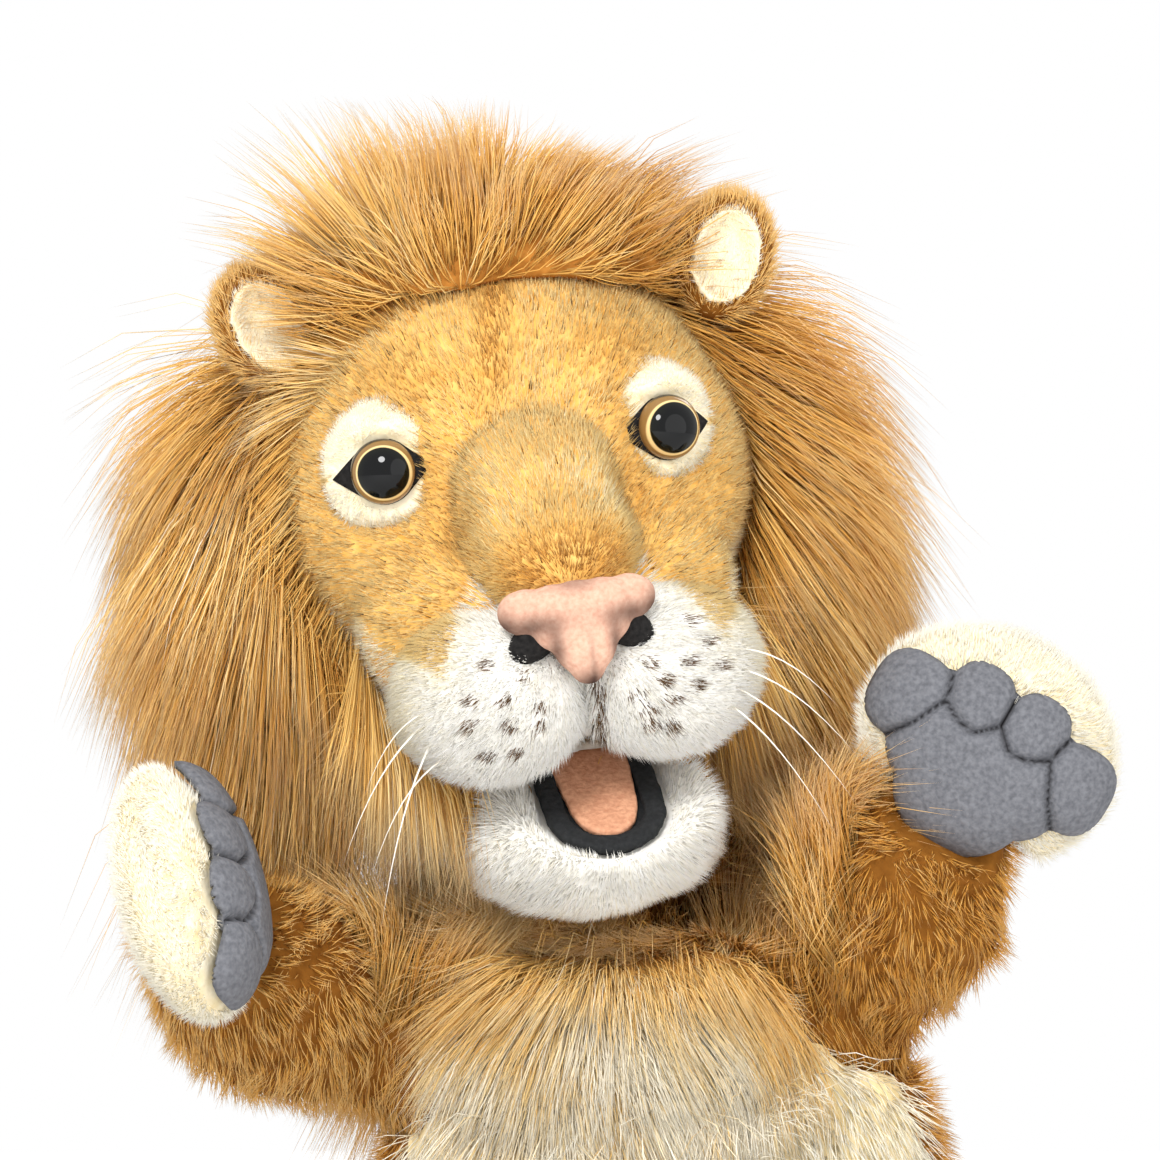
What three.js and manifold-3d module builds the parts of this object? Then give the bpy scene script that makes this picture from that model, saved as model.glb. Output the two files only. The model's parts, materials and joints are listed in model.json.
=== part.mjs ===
// A lion glove puppet: a hollow plush body that a hand fills, two hollow arms with stuffed paws, and a
// stuffed head with a finger pocket, a hinged lower jaw and a long-pile mane. Millimetres, +Z up.
// The puppet faces -Y, and the origin is the middle of the hand opening at the hem.
import * as THREE from "three";
import { mergeVertices } from "three/addons/utils/BufferGeometryUtils.js";
import Module from "manifold-3d";

const wasm = await Module();
wasm.setup();

const point = (x, y, z) => new THREE.Vector3(x, y, z);
const radians = THREE.MathUtils.degToRad;

// Fabric and clearances
const plush = 3;
const lining = 1;
const liningEase = 1.3;
const seamGap = 0.3;
const jointGap = 0.8;

// Torso: half-widths and half-depths from the hem up, and how far each section leans from the hem's centre
const hemHeight = 10;
const hemWall = 5;
const hemHalfWidth = 66;
const hemHalfDepth = 43;
const waistHeight = 57;
const waistHalfWidth = 62;
const waistHalfDepth = 41;
const chestHeight = 82;
const chestHalfWidth = 55;
const chestHalfDepth = 37;
const chestLean = -3;
const shoulderHeight = 97;
const shoulderHalfWidth = 43;
const shoulderHalfDepth = 29;
const shoulderLean = -9;
const collarHeight = 112;
const collarDepth = 4;
const sideSeamY = -14;
const handLiningHeight = 67;

// Neck: a cuff with a round top that the head turns and nods on
const neckRise = 15.3;
const neckPivot = point(-24.7, 5.9, collarHeight + neckRise);
const neckBallRadius = 29.6;
const neckStemRadius = 16;
const neckBoreRadius = 13;
const neckStemLength = 22;
const neckCapAngle = 60;

// The head's pose, and the skull's place above the neck pivot in the head's own axes
const headTurn = 9.5;
const headLean = -9;
const skullAboveNeck = point(0, -6, 80);

// Head form, in the skull's axes: an ellipsoid skull and a lower one that carries the muzzle
const skullRadii = point(53, 50, 55);
const jowlCentre = point(0, -33, -32);
const jowlRadii = point(42, 30, 27);
const scalpSeamY = 4;
const fingerPocketRadius = 12;
const fingerPocketDepth = 44;

// Snout, muzzle and nose
const snoutCentre = point(0, -53, -9);
const snoutRadii = point(21, 19, 28);
const snoutPitch = -34;
const muzzleCentre = point(19, -59, -46);
const muzzleRadii = point(22, 17, 19);
const noseCentre = point(0, -75, -35);
const noseHalfWidth = 18;
const noseHalfHeight = 11;
const noseStemHalfWidth = 6.5;
const noseWingHeight = 10;
const noseWingDrop = 2;
const noseTopBow = 1;
const noseDepth = 9;
const nosePitch = -14;
const nostrilPlace = point(10.5, -74, -38);
const nostrilRadii = point(6, 3, 4);

// Eyes: a domed button on a stem, held by a washer behind the skin, over a felt liner in a plush patch
const eyePlace = point(31, -38, 6);
const eyeSplay = 22;
const eyeSeat = 3.2;
const eyeRadius = 7.2;
const eyeDome = 5.5;
const eyeStemRadius = 2;
const eyeStemLength = 7;
const eyeStemClearance = 0.3;
const eyeWasherRadius = 6;
const eyeWasherThickness = 1.5;
const eyeWasherDrop = 5.5;
const eyeLinerHalfWidth = 13;
const eyeLinerHalfHeight = 8;
const eyeLinerThickness = 1.2;
const eyePatchHalfWidth = 14;
const eyePatchHalfHeight = 14.5;
const eyePatchThickness = 2.5;

// Ears: a cupped flap with a lining in the cup
const earPlace = point(52, -3, 42);
const earShift = point(5, 0, 0);
const earRadii = point(11.5, 7.5, 15);
const earLean = 24;
const earCupForward = 6.5;
const earRim = 3;
const earLiningThickness = 2;

// Mane on the head: crown, two sides and the nape
const crownCentre = point(3, -1, 46);
const crownRadii = point(50, 32, 29);
const browHeight = 41;
const sideManeCentre = point(57, 20, -14);
const sideManeRadii = point(32, 29, 54);
const sideManeLean = 16;
const napeCentre = point(0, 38, 4);
const napeRadii = point(56, 30, 62);

// Mane on the torso: the bib on the chest and the cape over the shoulders
const bibCentre = point(-8, -27, 80);
const bibRadii = point(44, 20, 31);
const capeCentre = point(-18, 27, 96);
const capeRadii = point(60, 27, 38);

// Lower jaw: a stuffed chin that swings on a rolled fold under the muzzle
const jawCentre = point(1, -45, -80);
const jawRadii = point(29, 21, 19);
const jawHinge = point(0, -33, -63);
const jawRollRadius = 6;
const jawRollLength = 40;
const mouthFloorFront = point(0, -61, -85);
const mouthFloorSlope = 41;
const mouthFloorLength = 27;
const lipHalfWidth = 13.5;
const lipThickness = 2.6;
const tongueHalfWidth = 8;
const tongueThickness = 2.2;
const tongueMargin = 5;
const mouthRoofThickness = 1.2;
const mouthRoofHalfWidth = 15;

// Whiskers, in a fan on each side of the muzzle
const whiskerRadius = 0.4;
const whiskerCount = 4;
const whiskerLength = 31;
const whiskerDroop = 8;
const whiskerTop = point(0.86, -0.36, 0.12);
const whiskerBottom = point(0.86, -0.36, -0.63);

// Arms: a shoulder ball, a sleeve that swells and a round wrist, posed on each side
const shoulderBallRadius = 22;
const sleeveRootRadius = 13;
const sleeveUpperRadius = 16;
const sleeveMidRadius = 24;
const wristRadius = 17;
const armholeRadius = 13;
const fingerLiningStart = 0.4;
const armPose = {
  right: {
    shoulder: point(34, -4, 87),
    elbow: point(50, -17, 103),
    wrist: point(59, -29, 128),
    armhole: point(0.1, -0.15, -0.98),
    toes: point(0.5, -0.05, 0.86),
    across: point(0.87, 0, -0.5),
    swing: [-8, 20],
  },
  left: {
    shoulder: point(-48, -4, 81),
    elbow: point(-90, -8, 87),
    wrist: point(-98, -36, 106),
    armhole: point(1, -0.1, 0.05),
    toes: point(-0.3, -0.85, 0.43),
    across: point(-0.17, 0.49, 0.86),
    swing: [-15, 10],
  },
};

// Paws: a stuffed back, and a sole with a palm and four toes
const pawHalfWidth = 32;
const pawHalfLength = 27;
const pawHalfThickness = 14;
const pawReach = 24;
const pawBendRoom = 4;
const soleThickness = 4;
const palmY = -9;
const palmRadius = 17;
const palmArc = [192, 348];
const toeRadius = 8.6;
const outerToe = new THREE.Vector2(21, 1);
const outerToeArc = [-70, 75];
const innerToe = new THREE.Vector2(7.6, 6);
const innerToeArc = [15, 125];

// Swings that the neighbours of a moving piece are kept clear of, in degrees
const headSwing = [-10, 0, 12];
const headNod = [-10, 8];
const jawSwing = [-14, 8];

const colours = {
  mane: 0xb98346,
  tan: 0xcf9a4e,
  amber: 0xb9761f,
  cream: 0xf0e2bd,
  white: 0xf2f1ea,
  grey: 0x77757c,
  pink: 0xe6b69c,
  peach: 0xc98a6a,
  black: 0x1b1d20,
  iris: 0x2a1c0e,
  horn: 0xe8dfcc,
  lining: 0x8a6a3c,
  filling: 0xf4f2ec,
  washer: 0xe9e9e6,
};

// How far a cutting shape runs past the piece it cuts, and the size of a block that trims one side
const past = 5;
const blockSize = 800;

// A closed mesh as a solid, moved by a matrix and turned right side out.
function solidOf(geometry, matrix = new THREE.Matrix4()) {
  const bare = new THREE.BufferGeometry();
  bare.setAttribute("position", geometry.getAttribute("position").clone());
  bare.setIndex(geometry.index);
  bare.applyMatrix4(matrix);
  const merged = mergeVertices(bare, 1e-4);
  const vertProperties = new Float32Array(merged.getAttribute("position").array);
  const triVerts = new Uint32Array(merged.index.array);
  const made = new wasm.Manifold(new wasm.Mesh({ numProp: 3, vertProperties, triVerts }));
  if (made.volume() > 0) return made;
  for (let i = 0; i < triVerts.length; i += 3) {
    [triVerts[i], triVerts[i + 1]] = [triVerts[i + 1], triVerts[i]];
  }
  return new wasm.Manifold(new wasm.Mesh({ numProp: 3, vertProperties, triVerts }));
}

function geometryOf(solid) {
  const mesh = solid.getMesh();
  const places = new Float32Array(mesh.numVert * 3);
  for (let i = 0; i < mesh.numVert; i += 1) {
    const from = i * mesh.numProp;
    places.set(mesh.vertProperties.subarray(from, from + 3), i * 3);
  }
  const geometry = new THREE.BufferGeometry();
  geometry.setAttribute("position", new THREE.BufferAttribute(places, 3));
  geometry.setIndex(new THREE.BufferAttribute(new Uint32Array(mesh.triVerts), 1));
  geometry.computeVertexNormals();
  return geometry;
}

// Trimming can leave crumbs beside a piece, so the piece is its largest body.
function largest(solid) {
  return solid.decompose().reduce((best, one) => (one.volume() > best.volume() ? one : best));
}

function moved(solid, matrix) {
  return solid.transform(matrix.elements);
}

function cut(solid, ...tools) {
  return tools.reduce((left, tool) => left.subtract(tool), solid);
}

function join(...solids) {
  return solids.reduce((whole, one) => whole.add(one));
}

function turnAndPlace(centre, turn = new THREE.Euler()) {
  const spin = new THREE.Quaternion().setFromEuler(turn);
  return new THREE.Matrix4().compose(centre, spin, point(1, 1, 1));
}

function turnAbout(centre, axis, degrees) {
  const spin = new THREE.Matrix4().makeRotationAxis(axis.clone().normalize(), radians(degrees));
  const there = new THREE.Matrix4().makeTranslation(centre);
  const back = new THREE.Matrix4().makeTranslation(centre.clone().negate());
  return there.multiply(spin).multiply(back);
}

function ellipsoid(centre, radii, { grow = 0, turn, around = 14, up = 9 } = {}) {
  const globe = new THREE.SphereGeometry(1, around, up);
  globe.scale(radii.x + grow, radii.y + grow, radii.z + grow);
  return solidOf(globe, turnAndPlace(centre, turn));
}

function ball(centre, radius, around = 18, up = 11) {
  return ellipsoid(centre, point(radius, radius, radius), { around, up });
}

// A rod from one point along a direction.
function rod(start, direction, length, radius, sides = 14) {
  const way = direction.clone().normalize();
  const turn = new THREE.Quaternion().setFromUnitVectors(point(0, 1, 0), way);
  const middle = start.clone().addScaledVector(way, length / 2);
  const matrix = new THREE.Matrix4().compose(middle, turn, point(1, 1, 1));
  return solidOf(new THREE.CylinderGeometry(radius, radius, length, sides), matrix);
}

// Everything beyond a plane, on the side its normal points to.
function halfSpace(place, normal) {
  return rod(place, normal, blockSize, blockSize, 8);
}

// A piece's two halves on either side of a seam across Y.
function splitAtSeam(solid, seamY) {
  const behind = halfSpace(point(0, seamY - seamGap / 2, 0), point(0, 1, 0));
  const before = halfSpace(point(0, seamY + seamGap / 2, 0), point(0, -1, 0));
  return [largest(cut(solid, behind)), largest(cut(solid, before))];
}

// A ring of points round a centre, in the plane of two axes.
function ringAround(centre, first, second, sides) {
  const ring = [];
  for (let i = 0; i < sides; i += 1) {
    const angle = (2 * Math.PI * i) / sides;
    const place = centre.clone().addScaledVector(first, Math.cos(angle));
    ring.push(place.addScaledVector(second, Math.sin(angle)));
  }
  return ring;
}

// A closed skin over a stack of rings with equal counts, with flat ends.
function loft(rings) {
  const count = rings[0].length;
  const places = rings.flat().flatMap((p) => [p.x, p.y, p.z]);
  const faces = [];
  for (let ring = 0; ring + 1 < rings.length; ring += 1) {
    for (let i = 0; i < count; i += 1) {
      const a = ring * count + i;
      const b = ring * count + ((i + 1) % count);
      faces.push(a, b, a + count, b, b + count, a + count);
    }
  }
  for (const [ring, first] of [[rings[0], 0], [rings.at(-1), (rings.length - 1) * count]]) {
    const centre = ring.reduce((sum, p) => sum.add(p), point(0, 0, 0)).divideScalar(count);
    const hub = places.length / 3;
    places.push(centre.x, centre.y, centre.z);
    for (let i = 0; i < count; i += 1) {
      const pair = [first + i, first + ((i + 1) % count)];
      faces.push(hub, ...(first === 0 ? pair.reverse() : pair));
    }
  }
  const geometry = new THREE.BufferGeometry();
  geometry.setAttribute("position", new THREE.Float32BufferAttribute(places, 3));
  geometry.setIndex(faces);
  return solidOf(geometry);
}

// An outline in X and Y, thickened about its own plane, then placed by a matrix.
function plate(outline, depth, matrix, curveSegments = 6) {
  const slab = new THREE.ExtrudeGeometry(outline, { depth, bevelEnabled: false, curveSegments });
  slab.translate(0, 0, -depth / 2);
  return solidOf(slab, matrix);
}

function lathe(profile, segments, matrix) {
  const turned = new THREE.LatheGeometry(profile.map(([r, z]) => new THREE.Vector2(r, z)), segments);
  const upright = new THREE.Matrix4().makeRotationX(Math.PI / 2);
  return solidOf(turned, matrix.clone().multiply(upright));
}

// The scene graph: torso and arm pieces stand in the part's frame, head pieces in the skull's.
const puppet = new THREE.Group();
const head = new THREE.Group();
head.position.copy(neckPivot);
head.rotation.set(0, radians(headLean), radians(headTurn), "YZX");
const skull = new THREE.Group();
skull.position.copy(skullAboveNeck);
head.add(skull);
puppet.add(head);
puppet.updateMatrixWorld(true);
const skullPlace = skull.matrixWorld.clone();
const intoSkull = skullPlace.clone().invert();
const neckInSkull = skullAboveNeck.clone().negate();
const acrossHead = point(1, 0, 0);

// Left is -1 and right is 1, as seen from in front of the puppet.
const sides = { left: -1, right: 1 };

function mirrored(place, sign) {
  return point(place.x * sign, place.y, place.z);
}

function addPiece(group, name, solid, colour, roughness = 0.9) {
  const material = new THREE.MeshStandardMaterial({ color: colour, roughness, metalness: 0 });
  const mesh = new THREE.Mesh(geometryOf(solid), material);
  mesh.name = name;
  group.add(mesh);
}

// Torso
const collarRadius = neckStemRadius + jointGap + plush;
const torsoSections = [
  { z: 0, width: hemHalfWidth, depth: hemHalfDepth, x: 0, y: 0 },
  { z: waistHeight, width: waistHalfWidth, depth: waistHalfDepth, x: 0, y: 0 },
  { z: chestHeight, width: chestHalfWidth, depth: chestHalfDepth, x: chestLean, y: 0 },
  { z: shoulderHeight, width: shoulderHalfWidth, depth: shoulderHalfDepth, x: shoulderLean, y: 0 },
  { z: collarHeight - collarDepth, width: collarRadius, depth: collarRadius, ...neckAxis() },
  { z: collarHeight, width: collarRadius, depth: collarRadius, ...neckAxis() },
];
const torsoProfile = new THREE.CubicInterpolant(
  torsoSections.map((section) => section.z),
  torsoSections.flatMap((section) => [section.width, section.depth, section.x, section.y]),
  4,
);
const hemTop = hemHeight + seamGap;

function neckAxis() {
  return { x: neckPivot.x, y: neckPivot.y };
}

// The torso's shape between two heights, grown outwards or, with a negative value, inwards.
function torsoForm(from, to, grow, steps = 7) {
  const rings = [];
  for (let step = 0; step <= steps; step += 1) {
    const z = from + ((to - from) * step) / steps;
    const [width, depth, x, y] = torsoProfile.evaluate(Math.min(Math.max(z, 0), collarHeight));
    rings.push(ringAround(point(x, y, z), point(width + grow, 0, 0), point(0, depth + grow, 0), 24));
  }
  return loft(rings);
}

function shoulderHoles() {
  return Object.values(armPose).map((pose) => ball(pose.shoulder, shoulderBallRadius + jointGap));
}

function torsoShells() {
  const outside = torsoForm(hemTop, collarHeight, 0);
  const hollow = torsoForm(hemTop - past, collarHeight + past, -plush);
  const [front, back] = splitAtSeam(cut(outside, hollow, ...shoulderHoles()), sideSeamY);
  addPiece(puppet, "chest_panel", front, colours.cream);
  addPiece(puppet, "body_back", back, colours.tan);
}

function hemBinding() {
  const outside = torsoForm(0, hemHeight, 0, 1);
  const hollow = torsoForm(-past, hemHeight + past, -hemWall, 1);
  addPiece(puppet, "hem_binding", cut(outside, hollow), colours.lining);
}

function handLining() {
  const top = hemTop + handLiningHeight;
  const outside = torsoForm(hemTop, top, -plush - liningEase, 4);
  const hollow = torsoForm(hemTop - past, top + past, -plush - liningEase - lining, 4);
  const bag = cut(outside, hollow, ...shoulderHoles());
  addPiece(puppet, "hand_lining", largest(bag), colours.lining);
}

// Arms
const sleeveRadius = new THREE.CubicInterpolant(
  [0, 0.3, 0.65, 1],
  [sleeveRootRadius, sleeveUpperRadius, sleeveMidRadius, wristRadius],
  1,
);

// Rings round the sleeve's path from a share of its length, with a half-round end at the wrist.
function sleeveForm(pose, grow, from = 0) {
  const steps = 5;
  const ringSides = 13;
  const domeRings = 3;
  const path = new THREE.QuadraticBezierCurve3(pose.shoulder, pose.elbow, pose.wrist);
  const frames = path.computeFrenetFrames(steps);
  const ringAt = (centre, radius, step) => {
    const first = frames.normals[step].clone().multiplyScalar(radius);
    const second = frames.binormals[step].clone().multiplyScalar(radius);
    return ringAround(centre, first, second, ringSides);
  };
  const rings = [];
  for (let step = 0; step <= steps; step += 1) {
    const share = step / steps;
    const radius = sleeveRadius.evaluate(share)[0] + grow;
    if (share >= from) rings.push(ringAt(path.getPointAt(share), radius, step));
  }
  for (let ring = 1; ring < domeRings; ring += 1) {
    const bend = (ring / domeRings) * (Math.PI / 2);
    const radius = wristRadius + grow;
    const centre = pose.wrist.clone().addScaledVector(frames.tangents[steps], radius * Math.sin(bend));
    rings.push(ringAt(centre, radius * Math.cos(bend), steps));
  }
  return loft(rings);
}

function armSleeve(side, pose) {
  const tube = cut(sleeveForm(pose, 0), torsoForm(hemTop, collarHeight, jointGap));
  const outside = join(tube, ball(pose.shoulder, shoulderBallRadius, 14, 9));
  const hollow = join(sleeveForm(pose, -plush), ball(pose.shoulder, shoulderBallRadius - plush, 14, 9));
  const armhole = rod(pose.shoulder, pose.armhole, shoulderBallRadius + past, armholeRadius);
  addPiece(puppet, `arm_sleeve_${side}`, largest(cut(outside, hollow, armhole)), colours.amber);
}

function fingerLining(side, pose) {
  const outside = sleeveForm(pose, -plush - seamGap, fingerLiningStart);
  const hollow = sleeveForm(pose, -plush - seamGap - lining);
  const bag = cut(outside, hollow, ball(pose.shoulder, shoulderBallRadius));
  addPiece(puppet, `finger_lining_${side}`, largest(bag), colours.lining);
}

// Paw axes: X across the toes, Y along them and Z out of the sole.
function pawMatrix(pose) {
  const along = pose.toes.clone().normalize();
  const across = pose.across.clone().addScaledVector(along, -pose.across.dot(along)).normalize();
  const out = point(0, 0, 0).crossVectors(across, along);
  const centre = pose.wrist.clone().addScaledVector(along, pawReach);
  return new THREE.Matrix4().makeBasis(across, along, out).setPosition(centre);
}

function pawForm(pose, grow) {
  const radii = point(pawHalfWidth, pawHalfLength, pawHalfThickness);
  return moved(ellipsoid(point(0, 0, 0), radii, { grow, around: 16, up: 8 }), pawMatrix(pose));
}

// Palm and toes in one outline, from the palm's left end round its foot and back over the toes.
function soleOutline() {
  const shape = new THREE.Shape();
  const addArc = (x, y, radius, [from, to]) => shape.absarc(x, y, radius, radians(from), radians(to));
  const otherSide = ([from, to]) => [180 - to, 180 - from];
  addArc(0, palmY, palmRadius, palmArc);
  addArc(outerToe.x, outerToe.y, toeRadius, outerToeArc);
  addArc(innerToe.x, innerToe.y, toeRadius, innerToeArc);
  addArc(-innerToe.x, innerToe.y, toeRadius, otherSide(innerToeArc));
  addArc(-outerToe.x, outerToe.y, toeRadius, otherSide(outerToeArc));
  shape.closePath();
  return shape;
}

function paw(side, pose) {
  const behind = pose.elbow.clone().sub(pose.wrist).normalize();
  const bendStart = pose.wrist.clone().addScaledVector(behind, -past);
  const socket = join(
    ball(pose.wrist, wristRadius + jointGap),
    rod(bendStart, behind, pawHalfLength, wristRadius + pawBendRoom),
  );
  addPiece(puppet, `paw_${side}`, largest(cut(pawForm(pose, 0), socket)), colours.cream);

  const overPaw = pawMatrix(pose).multiply(new THREE.Matrix4().makeTranslation(0, 0, pawHalfThickness));
  const column = plate(soleOutline(), pawHalfThickness * 2, overPaw, 5);
  const pad = pawForm(pose, seamGap + soleThickness).intersect(column);
  const sole = cut(pad, pawForm(pose, seamGap), socket);
  addPiece(puppet, `paw_sole_${side}`, largest(sole), colours.grey);
}

// The room an arm takes as it swings at the shoulder about the fore-and-aft axis.
function armRoom(pose) {
  const arm = join(
    sleeveForm(pose, jointGap * 2),
    ball(pose.shoulder, shoulderBallRadius + jointGap, 14, 9),
    pawForm(pose, seamGap + soleThickness + jointGap),
  );
  const [low, high] = pose.swing;
  const stops = [low, (low + high) / 2, high];
  return join(...stops.map((angle) => moved(arm, turnAbout(pose.shoulder, point(0, 1, 0), angle))));
}

// Neck
function arcPoints(radius, from, to) {
  const steps = 4;
  const angles = Array.from({ length: steps + 1 }, (_, i) => from + ((to - from) * i) / steps);
  return angles.map((angle) => [radius * Math.sin(angle), radius * Math.cos(angle)]);
}

function neckCuff() {
  const inside = neckBallRadius - plush;
  const rim = radians(neckCapAngle);
  const foot = [neckBoreRadius, -neckStemLength];
  const profile = [
    foot,
    [neckStemRadius, -neckStemLength],
    ...arcPoints(inside, Math.asin(neckStemRadius / inside), rim),
    ...arcPoints(neckBallRadius, rim, Math.asin(neckBoreRadius / neckBallRadius)),
    foot,
  ];
  addPiece(puppet, "neck_cuff", lathe(profile, 20, turnAndPlace(neckPivot)), colours.lining);
}

// Head, in the skull's axes
function headForm(grow, around = 20, up = 12) {
  return join(
    ellipsoid(point(0, 0, 0), skullRadii, { grow, around, up }),
    ellipsoid(jowlCentre, jowlRadii, { grow, around: around - 4, up: up - 2 }),
  );
}

function snoutForm(grow) {
  const turn = new THREE.Euler(radians(snoutPitch), 0, 0);
  return ellipsoid(snoutCentre, snoutRadii, { grow, turn });
}

function muzzleForm(sign, grow) {
  return ellipsoid(mirrored(muzzleCentre, sign), muzzleRadii, { grow });
}

function jawRoll(grow) {
  const end = jawHinge.clone().addScaledVector(acrossHead, -jawRollLength / 2 - grow);
  return rod(end, acrossHead, jawRollLength + grow * 2, jawRollRadius + grow, 12);
}

// The finger's way into the head, from the neck pivot straight up through the filling.
function pocketRod(length, radius) {
  return rod(neckInSkull, point(0, 0, 1), neckBallRadius + length, radius);
}

const neckSocket = ball(neckInSkull, neckBallRadius + jointGap, 24, 14);
const neckHole = pocketRod(plush + past, fingerPocketRadius + plush);
const jawGroove = jawRoll(jointGap);

// The eye's axes: Z looks out of the face along the gaze.
function eyeMatrix(sign) {
  const splay = radians(eyeSplay);
  const gaze = point(Math.sin(splay) * sign, -Math.cos(splay), 0);
  const up = point(0, 0, 1);
  const right = point(0, 0, 0).crossVectors(up, gaze);
  return new THREE.Matrix4().makeBasis(right, up, gaze).setPosition(mirrored(eyePlace, sign));
}

function eyeLathe(profile, sign) {
  return lathe(profile, 14, eyeMatrix(sign));
}

// A round hole along the gaze, from in front of the face to a depth behind the eye's place.
function gazeHole(radius, depth, sign) {
  return eyeLathe([[0, -depth], [radius, -depth], [radius, past * 2], [0, past * 2]], sign);
}

const stemEnd = plush + seamGap + eyeStemLength;
const stemHoles = Object.values(sides).map((sign) =>
  gazeHole(eyeStemRadius + eyeStemClearance, stemEnd, sign),
);

function headShells() {
  const openings = [neckSocket, neckHole, jawGroove];
  const skin = cut(headForm(0), headForm(-plush, 14, 9), ...openings, ...stemHoles);
  const [front, back] = splitAtSeam(skin, scalpSeamY);
  addPiece(skull, "face_skin", front, colours.tan);
  addPiece(skull, "scalp_skin", back, colours.mane);

  const washerRooms = Object.values(sides).map((sign) =>
    gazeHole(eyeWasherRadius + jointGap, stemEnd + jointGap, sign),
  );
  const pocket = pocketRod(fingerPocketDepth, fingerPocketRadius + seamGap);
  const filling = cut(headForm(-plush - seamGap, 14, 9), ...openings, pocket, ...washerRooms);
  addPiece(skull, "head_stuffing", largest(filling), colours.filling);

  const fingerBag = cut(
    pocketRod(fingerPocketDepth - seamGap, fingerPocketRadius),
    pocketRod(fingerPocketDepth - seamGap - lining, fingerPocketRadius - lining),
    neckSocket,
  );
  addPiece(skull, "head_finger_pocket", largest(fingerBag), colours.lining);
}

// A layer that lies on the head between two heights above it, under an outline.
function headLayer(outline, matrix, from, to) {
  const column = plate(outline, past * 8, matrix);
  return cut(headForm(to), headForm(from)).intersect(column);
}

function almond(halfWidth, halfHeight) {
  const shape = new THREE.Shape();
  shape.moveTo(-halfWidth, 0);
  shape.quadraticCurveTo(0, 2 * halfHeight, halfWidth, 0);
  shape.quadraticCurveTo(0, -2 * halfHeight, -halfWidth, 0);
  return shape;
}

function oval(halfWidth, halfHeight) {
  return new THREE.Shape().absellipse(0, 0, halfWidth, halfHeight, 0, 2 * Math.PI);
}

function eyeSet(side, sign) {
  const facing = eyeMatrix(sign);
  const linerTop = seamGap + eyeLinerThickness;
  const linerShape = almond(eyeLinerHalfWidth, eyeLinerHalfHeight);
  const liner = cut(headLayer(linerShape, facing, seamGap, linerTop), ...stemHoles);
  addPiece(skull, `eye_liner_${side}`, largest(liner), colours.black, 0.7);

  const patchShape = oval(eyePatchHalfWidth, eyePatchHalfHeight);
  const linerOpening = almond(eyeLinerHalfWidth + seamGap, eyeLinerHalfHeight + seamGap);
  const linerRoom = plate(linerOpening, blockSize, facing);
  const patch = headLayer(patchShape, facing, seamGap, seamGap + eyePatchThickness);
  const ring = cut(patch, linerRoom, snoutForm(seamGap), muzzleForm(sign, seamGap));
  addPiece(skull, `eye_patch_${side}`, largest(ring), colours.cream);

  const domeArc = arcPoints(1, Math.PI / 2, 0).map(([r, z]) => [r * eyeRadius, z * eyeDome + eyeSeat]);
  const dome = eyeLathe([[0, -stemEnd], [eyeRadius, -stemEnd], ...domeArc], sign);
  const stemSide = [[eyeStemRadius, -stemEnd], [eyeStemRadius, eyeSeat]];
  const stem = eyeLathe([[0, -stemEnd], ...stemSide, [0, eyeSeat]], sign);
  const button = join(cut(dome, headForm(linerTop + seamGap)), stem);
  addPiece(skull, `eye_${side}`, largest(button), colours.iris, 0.08);

  const bore = eyeStemRadius + eyeStemClearance;
  const washerBack = -eyeWasherDrop - eyeWasherThickness;
  const washer = [
    [bore, washerBack],
    [eyeWasherRadius, washerBack],
    [eyeWasherRadius, -eyeWasherDrop],
    [bore, -eyeWasherDrop],
    [bore, washerBack],
  ];
  addPiece(skull, `eye_washer_${side}`, eyeLathe(washer, sign), colours.washer, 0.4);
}

function snoutAndMuzzle() {
  const pads = Object.values(sides).map((sign) => muzzleForm(sign, seamGap));
  const bridge = cut(snoutForm(0), headForm(seamGap), ...pads);
  addPiece(skull, "snout_bridge", largest(bridge), colours.tan);
  for (const [side, sign] of Object.entries(sides)) {
    const otherHalf = halfSpace(point((sign * seamGap) / 2, 0, 0), point(-sign, 0, 0));
    const pad = cut(muzzleForm(sign, 0), headForm(seamGap), otherHalf);
    addPiece(skull, `muzzle_pad_${side}`, largest(pad), colours.white);
  }
}

// A broad top with two wings over a narrow stem.
function noseOutline() {
  const wingTop = noseHalfHeight - noseWingDrop;
  const wingFoot = noseHalfHeight - noseWingHeight;
  const dip = noseHalfHeight - noseTopBow;
  const swell = noseHalfHeight + noseTopBow;
  const shape = new THREE.Shape();
  shape.moveTo(-noseHalfWidth, wingTop);
  shape.quadraticCurveTo(-noseHalfWidth / 2, swell, 0, dip);
  shape.quadraticCurveTo(noseHalfWidth / 2, swell, noseHalfWidth, wingTop);
  shape.quadraticCurveTo(noseHalfWidth, wingFoot + noseWingDrop, noseStemHalfWidth, wingFoot);
  shape.quadraticCurveTo(noseStemHalfWidth, -noseHalfHeight / 2, 0, -noseHalfHeight);
  shape.quadraticCurveTo(-noseStemHalfWidth, -noseHalfHeight / 2, -noseStemHalfWidth, wingFoot);
  shape.quadraticCurveTo(-noseHalfWidth, wingFoot + noseWingDrop, -noseHalfWidth, wingTop);
  return shape;
}

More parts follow.
